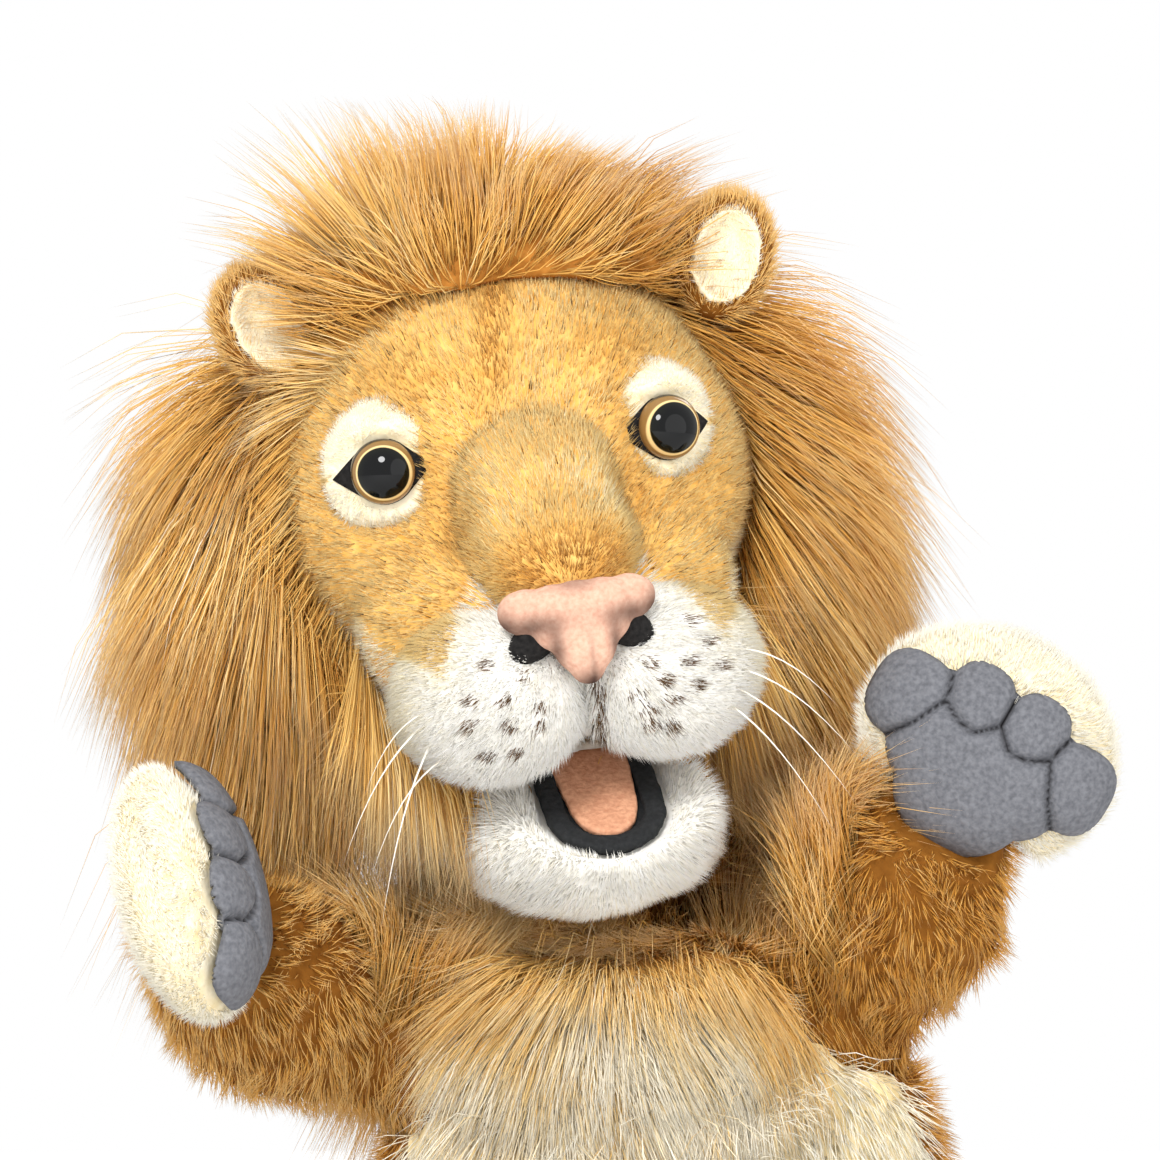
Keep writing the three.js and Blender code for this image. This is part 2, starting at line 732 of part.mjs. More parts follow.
function nose() {
  const facing = turnAndPlace(noseCentre, new THREE.Euler(Math.PI / 2 + radians(nosePitch), 0, 0));
  const face = join(headForm(seamGap), snoutForm(seamGap), muzzleForm(-1, seamGap), muzzleForm(1, seamGap));
  const pad = cut(plate(noseOutline(), noseDepth, facing, 5), face);
  addPiece(skull, "nose_pad", largest(pad), colours.pink);
  const noseRoom = plate(noseOutline(), noseDepth + seamGap * 2, facing, 5);
  for (const [side, sign] of Object.entries(sides)) {
    const bead = ellipsoid(mirrored(nostrilPlace, sign), nostrilRadii, { around: 10, up: 6 });
    addPiece(skull, `nostril_patch_${side}`, largest(cut(bead, face, noseRoom)), colours.black, 0.8);
  }
}

// The ears stand a little off the middle of the head, both to the same side.
function earCentre(sign) {
  return mirrored(earPlace, sign).add(earShift);
}

function earForm(sign, grow) {
  const turn = new THREE.Euler(0, sign * radians(earLean), 0);
  return ellipsoid(earCentre(sign), earRadii, { grow, turn, around: 12, up: 8 });
}

// The ear's cup, as the shape that hollows it, moved forward by a distance.
function earCup(sign, forward) {
  const turn = new THREE.Euler(0, sign * radians(earLean), 0);
  const centre = earCentre(sign).add(point(0, -earCupForward - forward, 0));
  const radii = point(earRadii.x - earRim, earRadii.y, earRadii.z - earRim);
  return ellipsoid(centre, radii, { turn, around: 12, up: 8 });
}

function ear(side, sign) {
  const scalp = headForm(seamGap);
  addPiece(skull, `ear_${side}`, largest(cut(earForm(sign, 0), earCup(sign, 0), scalp)), colours.amber);
  const sheet = cut(earCup(sign, seamGap), earCup(sign, seamGap + earLiningThickness), scalp);
  addPiece(skull, `ear_lining_${side}`, largest(sheet.intersect(earForm(sign, 0))), colours.cream);
}

function headMane() {
  const ears = Object.values(sides).map((sign) => earForm(sign, seamGap));
  const arms = Object.values(armPose).map((pose) => moved(armRoom(pose), intoSkull));
  const clear = [headForm(seamGap), neckSocket, ...ears];
  const crown = ellipsoid(crownCentre, crownRadii);
  const crownRoom = ellipsoid(crownCentre, crownRadii, { grow: seamGap });
  const nape = ellipsoid(napeCentre, napeRadii);
  const napeRoom = ellipsoid(napeCentre, napeRadii, { grow: seamGap });
  const brow = halfSpace(point(0, 0, browHeight), point(0, 0, -1));
  addPiece(skull, "mane_crown", largest(cut(crown, brow, ...clear)), colours.mane);
  addPiece(skull, "mane_nape", largest(cut(nape, crownRoom, ...clear)), colours.mane);
  for (const [side, sign] of Object.entries(sides)) {
    const turn = new THREE.Euler(0, -sign * radians(sideManeLean), 0);
    const lobe = ellipsoid(mirrored(sideManeCentre, sign), sideManeRadii, { turn });
    const kept = cut(lobe, crownRoom, napeRoom, ...clear, ...arms);
    addPiece(skull, `mane_${side}`, largest(kept), colours.mane);
  }
}

function jawForm(grow) {
  return ellipsoid(jawCentre, jawRadii, { grow });
}

// The chin at the end of the head's nod and the jaw's swing, across the head's turn, in the part's frame.
function loweredJaw() {
  const opened = moved(jawForm(jointGap), turnAbout(jawHinge, acrossHead, jawSwing[1]));
  const nodded = moved(moved(opened, skullPlace), turnAbout(neckPivot, point(1, 0, 0), headNod[1]));
  return join(...headSwing.map((angle) => moved(nodded, turnAbout(neckPivot, point(0, 0, 1), angle))));
}

function torsoMane() {
  const arms = Object.values(armPose).map(armRoom);
  const torso = torsoForm(hemTop, collarHeight, seamGap);
  const bib = cut(ellipsoid(bibCentre, bibRadii), torso, loweredJaw(), ...arms);
  addPiece(puppet, "chest_bib", largest(bib), colours.mane);
  const neckRoom = ball(neckPivot, neckBallRadius + plush);
  const cape = cut(ellipsoid(capeCentre, capeRadii), torso, neckRoom, ...arms);
  addPiece(puppet, "mane_cape", largest(cape), colours.mane);
}

// The mouth floor's axes: X across, Y back along the floor and Z out of it.
function mouthFloorMatrix(raise) {
  const slope = radians(mouthFloorSlope);
  const back = point(0, Math.cos(slope), Math.sin(slope));
  const out = point(0, 0, 0).crossVectors(acrossHead, back);
  const place = mouthFloorFront.clone().addScaledVector(out, raise);
  return new THREE.Matrix4().makeBasis(acrossHead, back, out).setPosition(place);
}

// Round in front, with straight sides that run back to the throat.
function floorOutline(halfWidth, front, back) {
  const shape = new THREE.Shape();
  shape.moveTo(halfWidth, back);
  shape.lineTo(halfWidth, front + halfWidth);
  shape.absarc(0, front + halfWidth, halfWidth, 0, -Math.PI, true);
  shape.lineTo(-halfWidth, back);
  shape.closePath();
  return shape;
}

// The underside of the head and the torso, where the jaw meets them anywhere in its swing.
function jawLimits() {
  const roofTop = seamGap + mouthRoofThickness;
  const pads = Object.values(sides).map((sign) => muzzleForm(sign, jointGap));
  const upper = join(headForm(roofTop + jointGap), ...pads);
  const torso = torsoForm(hemTop, collarHeight, jointGap * 2);
  const nodded = moved(moved(torso, turnAbout(neckPivot, point(1, 0, 0), -headNod[1])), intoSkull);
  const swung = (solid, angle) => moved(solid, turnAbout(jawHinge, acrossHead, -angle));
  return [upper, swung(upper, jawSwing[0]), swung(upper, jawSwing[1]), nodded, swung(nodded, jawSwing[1])];
}

function lowerJaw() {
  const limits = [...jawLimits(), neckSocket];
  const aboveFloor = halfSpace(mouthFloorFront, point(0, 0, 0).setFromMatrixColumn(mouthFloorMatrix(0), 2));
  const chin = join(cut(jawForm(0), aboveFloor, ...limits), jawRoll(0));
  addPiece(skull, "lower_jaw", largest(chin), colours.white);

  const lipPlace = mouthFloorMatrix(seamGap + lipThickness / 2);
  const tongueRoom = floorOutline(tongueHalfWidth + seamGap, tongueMargin, mouthFloorLength + past);
  const lip = plate(floorOutline(lipHalfWidth, 0, mouthFloorLength), lipThickness, lipPlace);
  const trimmedLip = cut(lip, plate(tongueRoom, lipThickness * 2, lipPlace), jawRoll(seamGap), ...limits);
  addPiece(skull, "lower_lip", largest(trimmedLip), colours.black, 0.6);

  const tonguePlace = mouthFloorMatrix(seamGap + tongueThickness / 2);
  const tongueShape = floorOutline(tongueHalfWidth, tongueMargin + seamGap, mouthFloorLength);
  const tongue = cut(plate(tongueShape, tongueThickness, tonguePlace), jawRoll(seamGap), ...limits);
  addPiece(skull, "tongue", largest(tongue), colours.peach);
}

function mouthRoof() {
  const roofPlace = turnAndPlace(point(0, jowlCentre.y, jowlCentre.z - jowlRadii.z));
  const outline = oval(mouthRoofHalfWidth, jowlRadii.y);
  const layer = headLayer(outline, roofPlace, seamGap, seamGap + mouthRoofThickness);
  const pads = Object.values(sides).map((sign) => muzzleForm(sign, seamGap));
  const roof = cut(layer, jawGroove, neckSocket, neckHole, ...pads);
  addPiece(skull, "mouth_roof", largest(roof), colours.black, 0.6);
}

function whiskers(side, sign) {
  for (let i = 0; i < whiskerCount; i += 1) {
    const out = mirrored(whiskerTop.clone().lerp(whiskerBottom, i / (whiskerCount - 1)), sign).normalize();
    const surface = out.clone().multiply(muzzleRadii).addScaledVector(out, -past);
    const root = mirrored(muzzleCentre, sign).add(surface);
    const middle = root.clone().addScaledVector(out, whiskerLength / 2);
    const tip = root.clone().addScaledVector(out, whiskerLength).add(point(0, 0, -whiskerDroop));
    const path = new THREE.QuadraticBezierCurve3(root, middle, tip);
    const ring = new THREE.Shape().absarc(0, 0, whiskerRadius, 0, 2 * Math.PI);
    const hair = new THREE.ExtrudeGeometry(ring, { steps: 5, extrudePath: path, curveSegments: 2 });
    const whisker = cut(solidOf(hair), muzzleForm(sign, seamGap), headForm(seamGap));
    addPiece(skull, `whisker_${side}_${i + 1}`, largest(whisker), colours.horn, 0.5);
  }
}

torsoShells();
hemBinding();
handLining();
torsoMane();
for (const [side, pose] of Object.entries(armPose)) {
  armSleeve(side, pose);
  fingerLining(side, pose);
  paw(side, pose);
}
neckCuff();
headShells();
snoutAndMuzzle();
nose();
headMane();
mouthRoof();
lowerJaw();
for (const [side, sign] of Object.entries(sides)) {
  eyeSet(side, sign);
  ear(side, sign);
  whiskers(side, sign);
}

export default puppet;
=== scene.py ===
import json
import math

import bpy
import numpy as np
from mathutils import Matrix, Vector
from mathutils.bvhtree import BVHTree
from mathutils.kdtree import KDTree

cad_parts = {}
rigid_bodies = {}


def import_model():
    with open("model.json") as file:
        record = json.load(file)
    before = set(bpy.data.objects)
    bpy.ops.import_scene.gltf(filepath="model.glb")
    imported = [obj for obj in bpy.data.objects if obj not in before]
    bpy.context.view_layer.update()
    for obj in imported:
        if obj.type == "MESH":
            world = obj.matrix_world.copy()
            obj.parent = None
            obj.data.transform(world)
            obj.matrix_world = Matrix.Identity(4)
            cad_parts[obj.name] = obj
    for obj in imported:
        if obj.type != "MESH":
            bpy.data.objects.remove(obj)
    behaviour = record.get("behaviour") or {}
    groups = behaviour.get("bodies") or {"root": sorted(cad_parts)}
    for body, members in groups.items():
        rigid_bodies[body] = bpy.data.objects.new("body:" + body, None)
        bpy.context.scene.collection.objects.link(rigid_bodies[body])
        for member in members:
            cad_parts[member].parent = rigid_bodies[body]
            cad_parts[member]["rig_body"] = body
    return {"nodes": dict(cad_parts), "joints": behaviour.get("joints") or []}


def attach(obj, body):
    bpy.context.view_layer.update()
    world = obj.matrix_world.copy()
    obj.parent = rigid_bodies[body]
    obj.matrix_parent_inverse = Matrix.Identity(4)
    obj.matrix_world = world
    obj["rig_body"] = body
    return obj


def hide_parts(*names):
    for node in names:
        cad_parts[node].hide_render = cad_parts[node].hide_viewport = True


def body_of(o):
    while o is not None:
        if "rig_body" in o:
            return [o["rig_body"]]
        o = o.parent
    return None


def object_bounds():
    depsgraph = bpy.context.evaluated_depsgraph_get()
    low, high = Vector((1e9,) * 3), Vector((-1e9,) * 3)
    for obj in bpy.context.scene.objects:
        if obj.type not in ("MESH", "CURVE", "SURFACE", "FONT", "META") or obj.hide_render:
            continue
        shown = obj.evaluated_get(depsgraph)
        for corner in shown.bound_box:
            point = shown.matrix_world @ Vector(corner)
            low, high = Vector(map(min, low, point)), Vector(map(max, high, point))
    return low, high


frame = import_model()
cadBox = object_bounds()
nodes = frame["nodes"]
mm = 0.001
sides = {"left": -1, "right": 1}  # as seen from in front


# selecting and applying, as by hand

def deselectAll():
    if bpy.context.object and bpy.context.object.mode != "OBJECT":
        bpy.ops.object.mode_set(mode="OBJECT")
    bpy.ops.object.select_all(action="DESELECT")


def activate(*pieces):
    deselectAll()
    for piece in pieces:
        piece.select_set(True)
    bpy.context.view_layer.objects.active = pieces[0]
    return pieces[0]


def editAll(piece):
    activate(piece)
    bpy.ops.object.mode_set(mode="EDIT")
    bpy.ops.mesh.select_all(action="SELECT")


def leaveEdit():
    bpy.ops.object.mode_set(mode="OBJECT")


def applied(piece, kind, **settings):
    activate(piece)
    modifier = piece.modifiers.new(kind.lower(), kind)
    for name, value in settings.items():
        setattr(modifier, name, value)
    bpy.ops.object.modifier_apply(modifier=modifier.name)
    return piece


def joined(name, *pieces):
    activate(*pieces)
    if len(pieces) > 1:
        bpy.ops.object.join()
    pieces[0].name = name
    pieces[0].data.name = name
    return pieces[0]


def placed(piece, matrix):
    piece.data.transform(matrix)
    piece.data.update()
    return piece


def smoothShaded(piece):
    activate(piece)
    bpy.ops.object.shade_smooth()
    return piece


# mesh arrays

def cornersOf(mesh):
    places = np.empty(len(mesh.vertices) * 3)
    mesh.vertices.foreach_get("co", places)
    return places.reshape(-1, 3)


def normalsOf(mesh):
    ways = np.empty(len(mesh.vertices) * 3)
    mesh.vertex_normals.foreach_get("vector", ways)
    return ways.reshape(-1, 3)


def setCorners(piece, places):
    piece.data.vertices.foreach_set("co", np.asarray(places, np.float32).ravel())
    piece.data.update()


def unit(ways):
    return ways / np.maximum(np.linalg.norm(ways, axis=-1, keepdims=True), 1e-9)


def moved(places, matrix):
    table = np.array(matrix)
    return places @ table[:3, :3].T + table[:3, 3]


def turned(ways, matrix):
    return unit(ways @ np.array(matrix)[:3, :3].T)


# frames: each maps its own millimetres to the part's metres

def jointAt(name):
    return Vector(next(j for j in frame["joints"] if j["name"] == name)["pos_m"])


headPose = {"turn": 9.5, "lean": -9.0, "aboveNeck": (0, -0.006, 0.080)}
inMillimetres = Matrix.Scale(mm, 4)
headPlace = (
    Matrix.Translation(jointAt("head_nod"))
    @ Matrix.Rotation(math.radians(headPose["lean"]), 4, "Y")
    @ Matrix.Rotation(math.radians(headPose["turn"]), 4, "Z")
    @ Matrix.Translation(headPose["aboveNeck"])
    @ inMillimetres
)
bodyPlace = inMillimetres

pawPose = {
    "reach": 0.024,
    "left": {"toes": (-0.3, -0.85, 0.43), "across": (-0.17, 0.49, 0.86)},
    "right": {"toes": (0.5, -0.05, 0.86), "across": (0.87, 0, -0.5)},
}


def pawPlace(side):  # X across the toes, Y along them, Z out of the sole
    along = Vector(pawPose[side]["toes"]).normalized()
    across = Vector(pawPose[side]["across"])
    across = (across - along * across.dot(along)).normalized()
    basis = Matrix((across, along, across.cross(along))).transposed().to_4x4()
    centre = jointAt(f"{side}_paw_bend") + along * pawPose["reach"]
    return Matrix.Translation(centre) @ basis @ inMillimetres


def placeOf(body):
    if body in ("head", "jaw"):
        return headPlace
    return pawPlace(body.removeprefix("paw_")) if body.startswith("paw_") else bodyPlace


def bothSides(name, node, body, **spec):  # the same piece on the left and on the right
    pair = {}
    for side in sides:
        rides = f"{body}_{side}" if body in ("arm", "paw") else body
        pair[f"{name}{side.title()}"] = dict(spec, node=f"{node}_{side}", body=rides)
    return pair


# shader maths on sockets

class Wire:
    def __init__(self, tree, socket=None):
        self.tree = tree
        self.socket = socket

    def node(self, kind, settings=None, inputs=None, output=0):
        made = self.tree.nodes.new(kind)
        for name, value in (settings or {}).items():
            if name == "stops":
                self.fillRamp(made.color_ramp, value)
            else:
                setattr(made, name, value)
        for name, value in (inputs or {}).items():
            if isinstance(value, Wire):
                self.tree.links.new(value.socket, made.inputs[name])
            else:
                made.inputs[name].default_value = value
        return Wire(self.tree, made.outputs[output])

    def fillRamp(self, ramp, stops):
        while len(ramp.elements) < len(stops):
            ramp.elements.new(0.5)
        for element, (place, colour) in zip(ramp.elements, stops):
            element.position = place
            element.color = colour

    def out(self, name):
        return Wire(self.tree, self.socket.node.outputs[name])

    def maths(self, operation, first, second):
        return self.node("ShaderNodeMath", {"operation": operation}, {0: first, 1: second})

    def mixed(self, share, first, second, blend="MIX"):
        settings = {"data_type": "RGBA", "blend_type": blend}
        return self.node("ShaderNodeMix", settings, {"Factor": share, "A": first, "B": second}, "Result")

    def ramp(self, *stops):
        return self.node("ShaderNodeValToRGB", {"stops": stops}, {"Fac": self})

    def noise(self, scale, detail=3.0, place=None):
        vector = place or self.node("ShaderNodeTexCoord", output="Object")
        return self.node("ShaderNodeTexNoise", None, {"Vector": vector, "Scale": scale, "Detail": detail})

    def __add__(self, other):
        return self.maths("ADD", self, other)

    def __mul__(self, other):
        return self.maths("MULTIPLY", self, other)

    def __truediv__(self, other):
        return self.maths("DIVIDE", self, other)

    def __pow__(self, other):
        return self.maths("POWER", self, other)

    __radd__ = __add__
    __rmul__ = __mul__


def paint(red, green, blue):  # a screen colour, 0 to 255, as the shader's own
    def linear(value):
        share = value / 255
        return share / 12.92 if share <= 0.04045 else ((share + 0.055) / 1.055) ** 2.4
    return (linear(red), linear(green), linear(blue), 1.0)


def newFinish(name, roughness, **sockets):
    finish = bpy.data.materials.new(name)
    finish.use_nodes = True
    shader = finish.node_tree.nodes["Principled BSDF"]
    shader.inputs["Roughness"].default_value = roughness
    for socket, value in sockets.items():
        shader.inputs[socket.replace("_", " ")].default_value = value
    return finish, shader, Wire(finish.node_tree)


def plug(wire, shader, socket):
    wire.tree.links.new(wire.socket, shader.inputs[socket])


def bump(wire, shader, height, strength, distance):
    inputs = {"Height": height, "Strength": strength, "Distance": distance}
    plug(wire.node("ShaderNodeBump", None, inputs), shader, "Normal")


furTones = {
    "mane": ((0.0, paint(126, 76, 24)), (0.3, paint(200, 138, 54)), (0.55, paint(234, 180, 90)),
             (0.75, paint(244, 204, 126)), (0.88, paint(250, 224, 168)), (1.0, paint(253, 246, 228))),
    "tan": ((0.0, paint(70, 50, 30)), (0.25, paint(194, 134, 52)), (0.5, paint(231, 186, 104)),
            (0.72, paint(244, 217, 152)), (0.86, paint(252, 240, 206)), (1.0, paint(255, 254, 252))),
    "amber": ((0.0, paint(122, 72, 14)), (0.35, paint(190, 124, 36)), (0.65, paint(222, 162, 70)),
              (1.0, paint(248, 210, 138))),
    "cream": ((0.0, paint(200, 146, 70)), (0.35, paint(244, 212, 140)), (0.7, paint(253, 244, 218)),
              (1.0, paint(255, 251, 240))),
}


def furFinish(kind, rootShade, tipLight):
    finish, shader, wire = newFinish(f"{kind}Fur", 0.62, Specular_IOR_Level=0.3)
    grid = wire.node("ShaderNodeUVMap", {"uv_map": "OFBake"})
    parts = wire.node("ShaderNodeSeparateXYZ", None, {0: grid}, "X")
    tone = parts.out("Y").ramp(*furTones[kind])
    # darker towards the root by rootShade: painted shade between the hairs; paler towards the tip by tipLight
    along = parts.ramp((0.0, (rootShade,) * 3 + (1,)), (0.5, (1, 1, 1, 1)))
    shaded = wire.mixed(1.0, tone, along, "MULTIPLY")
    tip = parts.ramp((0.55, (0, 0, 0, 1)), (1.0, (tipLight,) * 3 + (1,)))
    plug(wire.mixed(tip, shaded, paint(255, 246, 226)), shader, "Base Color")
    return finish


def skinFinish(name, dark, light, scale=260.0):
    finish, shader, wire = newFinish(name, 0.9, Specular_IOR_Level=0.1)
    pile = wire.noise(scale)
    plug(pile.ramp((0.3, dark), (0.7, light)), shader, "Base Color")
    bump(wire, shader, pile, 0.6, 0.001)
    return finish


# for each fur, how dark it is at the root, as painted shade between the hairs, and how pale at the tip
furLights = {"mane": (0.78, 0.32), "tan": (0.85, 0.1), "amber": (0.75, 0.15), "cream": (0.92, 0.1)}
furs = {kind: furFinish(kind, *lights) for kind, lights in furLights.items()}
# each backing is the cloth the pile grows from, painted darker than its fur, most under the mane and amber
# pile: painted shade between the hairs
skins = {
    "mane": skinFinish("maneBacking", paint(140, 86, 30), paint(190, 128, 56)),
    "tan": skinFinish("tanBacking", paint(226, 168, 80), paint(246, 200, 116)),
    "amber": skinFinish("amberBacking", paint(112, 68, 20), paint(142, 92, 34)),
    "cream": skinFinish("creamBacking", paint(240, 222, 178), paint(250, 240, 214)),
    "white": skinFinish("whiteBacking", paint(240, 236, 226), paint(252, 250, 246)),
}
print("finishes made")


# stuffed pieces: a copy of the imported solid, remeshed, softened and swollen by its filling

filling = {"pressure": 4.0, "swell": 1.5, "fill": 0.6, "frames": 20, "soften": 6, "smooth": 2}


def castFrom(name, node):
    piece = bpy.data.objects.new(name, nodes[node].data.copy())
    bpy.context.scene.collection.objects.link(piece)
    piece.data.name = name
    piece.data.materials.clear()
    editAll(piece)
    bpy.ops.mesh.remove_doubles(threshold=1e-6)
    leaveEdit()
    return piece


def inOrder(piece):  # a new sphere's faces come in another order at each run, so they are sorted
    places = cornersOf(piece.data)
    order = np.lexsort(np.round(places, 5).T)
    rank = np.argsort(order).tolist()
    faces = []
    for face in piece.data.polygons:
        ranks = [rank[corner] for corner in face.vertices]
        start = ranks.index(min(ranks))
        faces.append(ranks[start:] + ranks[:start])
    piece.data = bpy.data.meshes.new(piece.name)
    piece.data.from_pydata(places[order], [], sorted(faces))


def ballAt(centre, radii, turn=(0, 0, 0), place=bodyPlace, segments=32):
    deselectAll()
    bpy.ops.mesh.primitive_uv_sphere_add(segments=segments, ring_count=segments // 2, radius=1)
    piece = bpy.context.object
    inOrder(piece)
    spin = Matrix.Rotation(math.radians(turn[2]), 4, "Z") @ Matrix.Rotation(math.radians(turn[1]), 4, "Y")
    spin = spin @ Matrix.Rotation(math.radians(turn[0]), 4, "X")
    shape = Matrix.Translation(centre) @ spin @ Matrix.Diagonal((*radii, 1))
    return placed(piece, place @ shape)


def remeshed(piece, voxel):
    return applied(piece, "REMESH", mode="VOXEL", voxel_size=voxel * mm)


def softened(piece, rounds, factor=0.5):
    return applied(piece, "SMOOTH", factor=factor, iterations=rounds)


def grown(piece, amount):
    setCorners(piece, cornersOf(piece.data) + normalsOf(piece.data) * amount * mm)
    return piece


def filled(piece, pressure, swell):  # blown up by its filling, by no more than a swell
    scene = bpy.context.scene
    start = cornersOf(piece.data)
    cloth = piece.modifiers.new("filling", "CLOTH")
    cloth.settings.use_pressure = True
    cloth.settings.uniform_pressure_force = pressure
    cloth.settings.effector_weights.gravity = 0
    for step in range(1, filling["frames"] + 1):
        scene.frame_set(step)
    swollen = piece.evaluated_get(bpy.context.evaluated_depsgraph_get())
    push = cornersOf(swollen.data) - start
    piece.modifiers.remove(cloth)
    scene.frame_set(1)
    reach = np.linalg.norm(push, axis=1, keepdims=True)
    setCorners(piece, start + push * np.minimum(1, swell * mm / np.maximum(reach, 1e-9)))
    return piece


def reshaped(piece, place, shape):  # its corners changed by a function, in the millimetres of a place
    setCorners(piece, moved(shape(moved(cornersOf(piece.data), place.inverted())), place))
    return piece


def settled(piece, share):  # drawn towards the head, to a share of its height over it
    def lowered(points):
        spots = np.array([headSolid.find_nearest(Vector(spot))[0] for spot in points])
        kept = share(points)[:, None] if callable(share) else share
        return spots + (points - spots) * kept
    return reshaped(piece, headPlace, lowered)


def subdivided(piece, levels=1):
    return applied(piece, "SUBSURF", levels=levels, render_levels=levels)


def dressed(piece, body, finish, replaced=()):
    smoothShaded(piece)
    piece.data.materials.clear()
    piece.data.materials.append(finish)
    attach(piece, body)
    if replaced:
        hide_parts(*replaced)
    return piece


def stuffed(name, spec):
    body, kind = spec["body"], spec["fur"]
    piece = castFrom(name, spec["node"])
    remeshed(piece, spec["voxel"])
    softened(piece, spec.get("soften", filling["soften"]))
    grown(piece, spec.get("grow", 0))
    if "sit" in spec:
        settled(piece, spec["sit"])
    if "shape" in spec:
        reshaped(piece, placeOf(body), spec["shape"])
    filled(piece, filling["pressure"], filling["swell"])
    softened(piece, filling["smooth"])
    return dressed(piece, body, skins[kind], (spec["node"],))


# fur: fine tapered strands rooted on a piece, combed along its surface

strandForm = {
    "waves": 7, "waveSlope": 2.2, "rootTries": 14,
    "gather": 1.4, "hold": (0.35, 1.0),  # how a lock closes towards its tip, and how firmly strands follow
    "taper": 1.6, "widths": (0.75, 1.2), "toneBand": 0.004,
    "sunk": 0.5, "hovers": (0.4, 1.0), "nearby": 9.0, "lowest": 0.0005,
}


def waves(points, span, seed):  # smooth random ways that change over about one span
    rng = np.random.default_rng(seed)
    total = np.zeros(points.shape)
    count = strandForm["waves"]
    for _ in range(count):
        slope = rng.normal(size=3) * strandForm["waveSlope"] / span
        swing = np.sin(points @ slope + rng.uniform(0, 2 * math.pi))
        total += swing[..., None] * rng.normal(size=3)
    return total / math.sqrt(count)


def scatter(piece, place, count, rng, allow):
    mesh = piece.data
    mesh.calc_loop_triangles()
    corners = np.empty(len(mesh.loop_triangles) * 3, int)
    mesh.loop_triangles.foreach_get("vertices", corners)
    corners = corners.reshape(-1, 3)
    back = place.inverted()
    places, ways = moved(cornersOf(mesh), back), turned(normalsOf(mesh), back)
    first, second, third = (places[corners[:, i]] for i in range(3))
    area = np.linalg.norm(np.cross(second - first, third - first), axis=1)
    share = area / area.sum()
    roots, normals, found = [], [], 0
    for _ in range(strandForm["rootTries"]):
        pick = rng.choice(len(corners), size=count * 2, p=share)
        one, two = rng.random((2, count * 2))
        weights = np.stack((1 - np.sqrt(one), np.sqrt(one) * (1 - two), np.sqrt(one) * two), axis=1)
        spots = np.einsum("nk,nkd->nd", weights, places[corners[pick]])
        facing = unit(np.einsum("nk,nkd->nd", weights, ways[corners[pick]]))
        kept = rng.random(len(spots)) < allow(spots, facing)
        roots.append(spots[kept])
        normals.append(facing[kept])
        found += kept.sum()
        if found >= count:
            break
    return np.concatenate(roots)[:count], np.concatenate(normals)[:count]


def gathered(paths, roots, spec, rng):  # strands near each other lean to one leader towards their tips
    count, rings = paths.shape[:2]
    leaders = rng.choice(count, max(1, count // spec["perLock"]), replace=False)
    tree = KDTree(len(leaders))
    for index, leader in enumerate(leaders):
        tree.insert(roots[leader], index)
    tree.balance()
    nearest = np.array([tree.find(root)[1] for root in roots])
    pull = np.linspace(0, 1, rings) ** strandForm["gather"] * spec["lock"]
    hold = rng.uniform(*strandForm["hold"], (count, 1, 1))
    return paths + (paths[leaders[nearest]] - paths) * pull[None, :, None] * hold


def strandMesh(name, paths, widths, tones):
    count, rings = paths.shape[:2]
    rng = np.random.default_rng(rings)
    along = unit(np.gradient(paths, axis=1))
    across = unit(np.cross(along, unit(rng.normal(size=(count, 1, 3)))))
    beside = np.cross(along, across)
    share = np.linspace(0, 1, rings)
    half = widths[:, None] / 2 * (1 - share ** strandForm["taper"])[None, :]
    corners = []
    for angle in (0, 2 * math.pi / 3, 4 * math.pi / 3):
        corners.append(paths + half[..., None] * (math.cos(angle) * across + math.sin(angle) * beside))
    tube = np.stack(corners, axis=2)[:, :-1].reshape(count, -1, 3)
    places = np.concatenate((tube, paths[:, -1:]), axis=1)
    perStrand = places.shape[1]
    faces, grid = [(0, 2, 1)], [((0, -1), (0.01, 0), (0, 1))]
    for ring in range(rings - 1):
        low, high = share[ring], share[ring + 1]
        for one, two in ((0, 1), (1, 2), (2, 0)):
            a, b = ring * 3 + one, ring * 3 + two
            if ring == rings - 2:
                faces.append((a, b, perStrand - 1))
                grid.append(((low, -1), (low, 1), (high, 0)))
                continue
            faces += [(a, b, b + 3), (a, b + 3, a + 3)]
            grid += [((low, -1), (low, 1), (high, 1)), ((low, -1), (high, 1), (high, -1))]
    faces, grid = np.array(faces), np.array(grid, float)
    allFaces = (faces[None] + (np.arange(count) * perStrand)[:, None, None]).reshape(-1, 3)
    sheet = np.empty((count, *grid.shape))
    sheet[..., 0] = grid[..., 0]
    sheet[..., 1] = np.clip(tones, 0.01, 0.99)[:, None, None] + grid[..., 1] * strandForm["toneBand"]
    mesh = bpy.data.meshes.new(name)
    mesh.from_pydata(places.reshape(-1, 3), [], allFaces)
    mesh.uv_layers.new(name="OFBake").data.foreach_set("uv", sheet.astype(np.float32).ravel())
    mesh.shade_smooth()
    piece = bpy.data.objects.new(name, mesh)
    bpy.context.scene.collection.objects.link(piece)
    return piece


def obstacle(place, *pieces):  # what hair lies on, in the millimetres of a place
    back = place.inverted()
    corners, faces, start = [], [], 0
    for piece in pieces:
        places = moved(cornersOf(piece.data), back)
        faces += [[start + corner for corner in face.vertices] for face in piece.data.polygons]
        corners += [Vector(spot) for spot in places]
        start += len(places)
    return BVHTree.FromPolygons(corners, faces)


def pushedOut(points, solid, hover):
    kept = points.copy()
    for index, point in enumerate(points):
        spot, way, _, _ = solid.find_nearest(Vector(point), strandForm["nearby"])
        if spot is not None and (Vector(point) - spot).dot(way) < hover[index]:
            kept[index] = spot + way * hover[index]
    return kept


hairRoom = {"free": 0.006, "most": 0.006}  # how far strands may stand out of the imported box, in metres


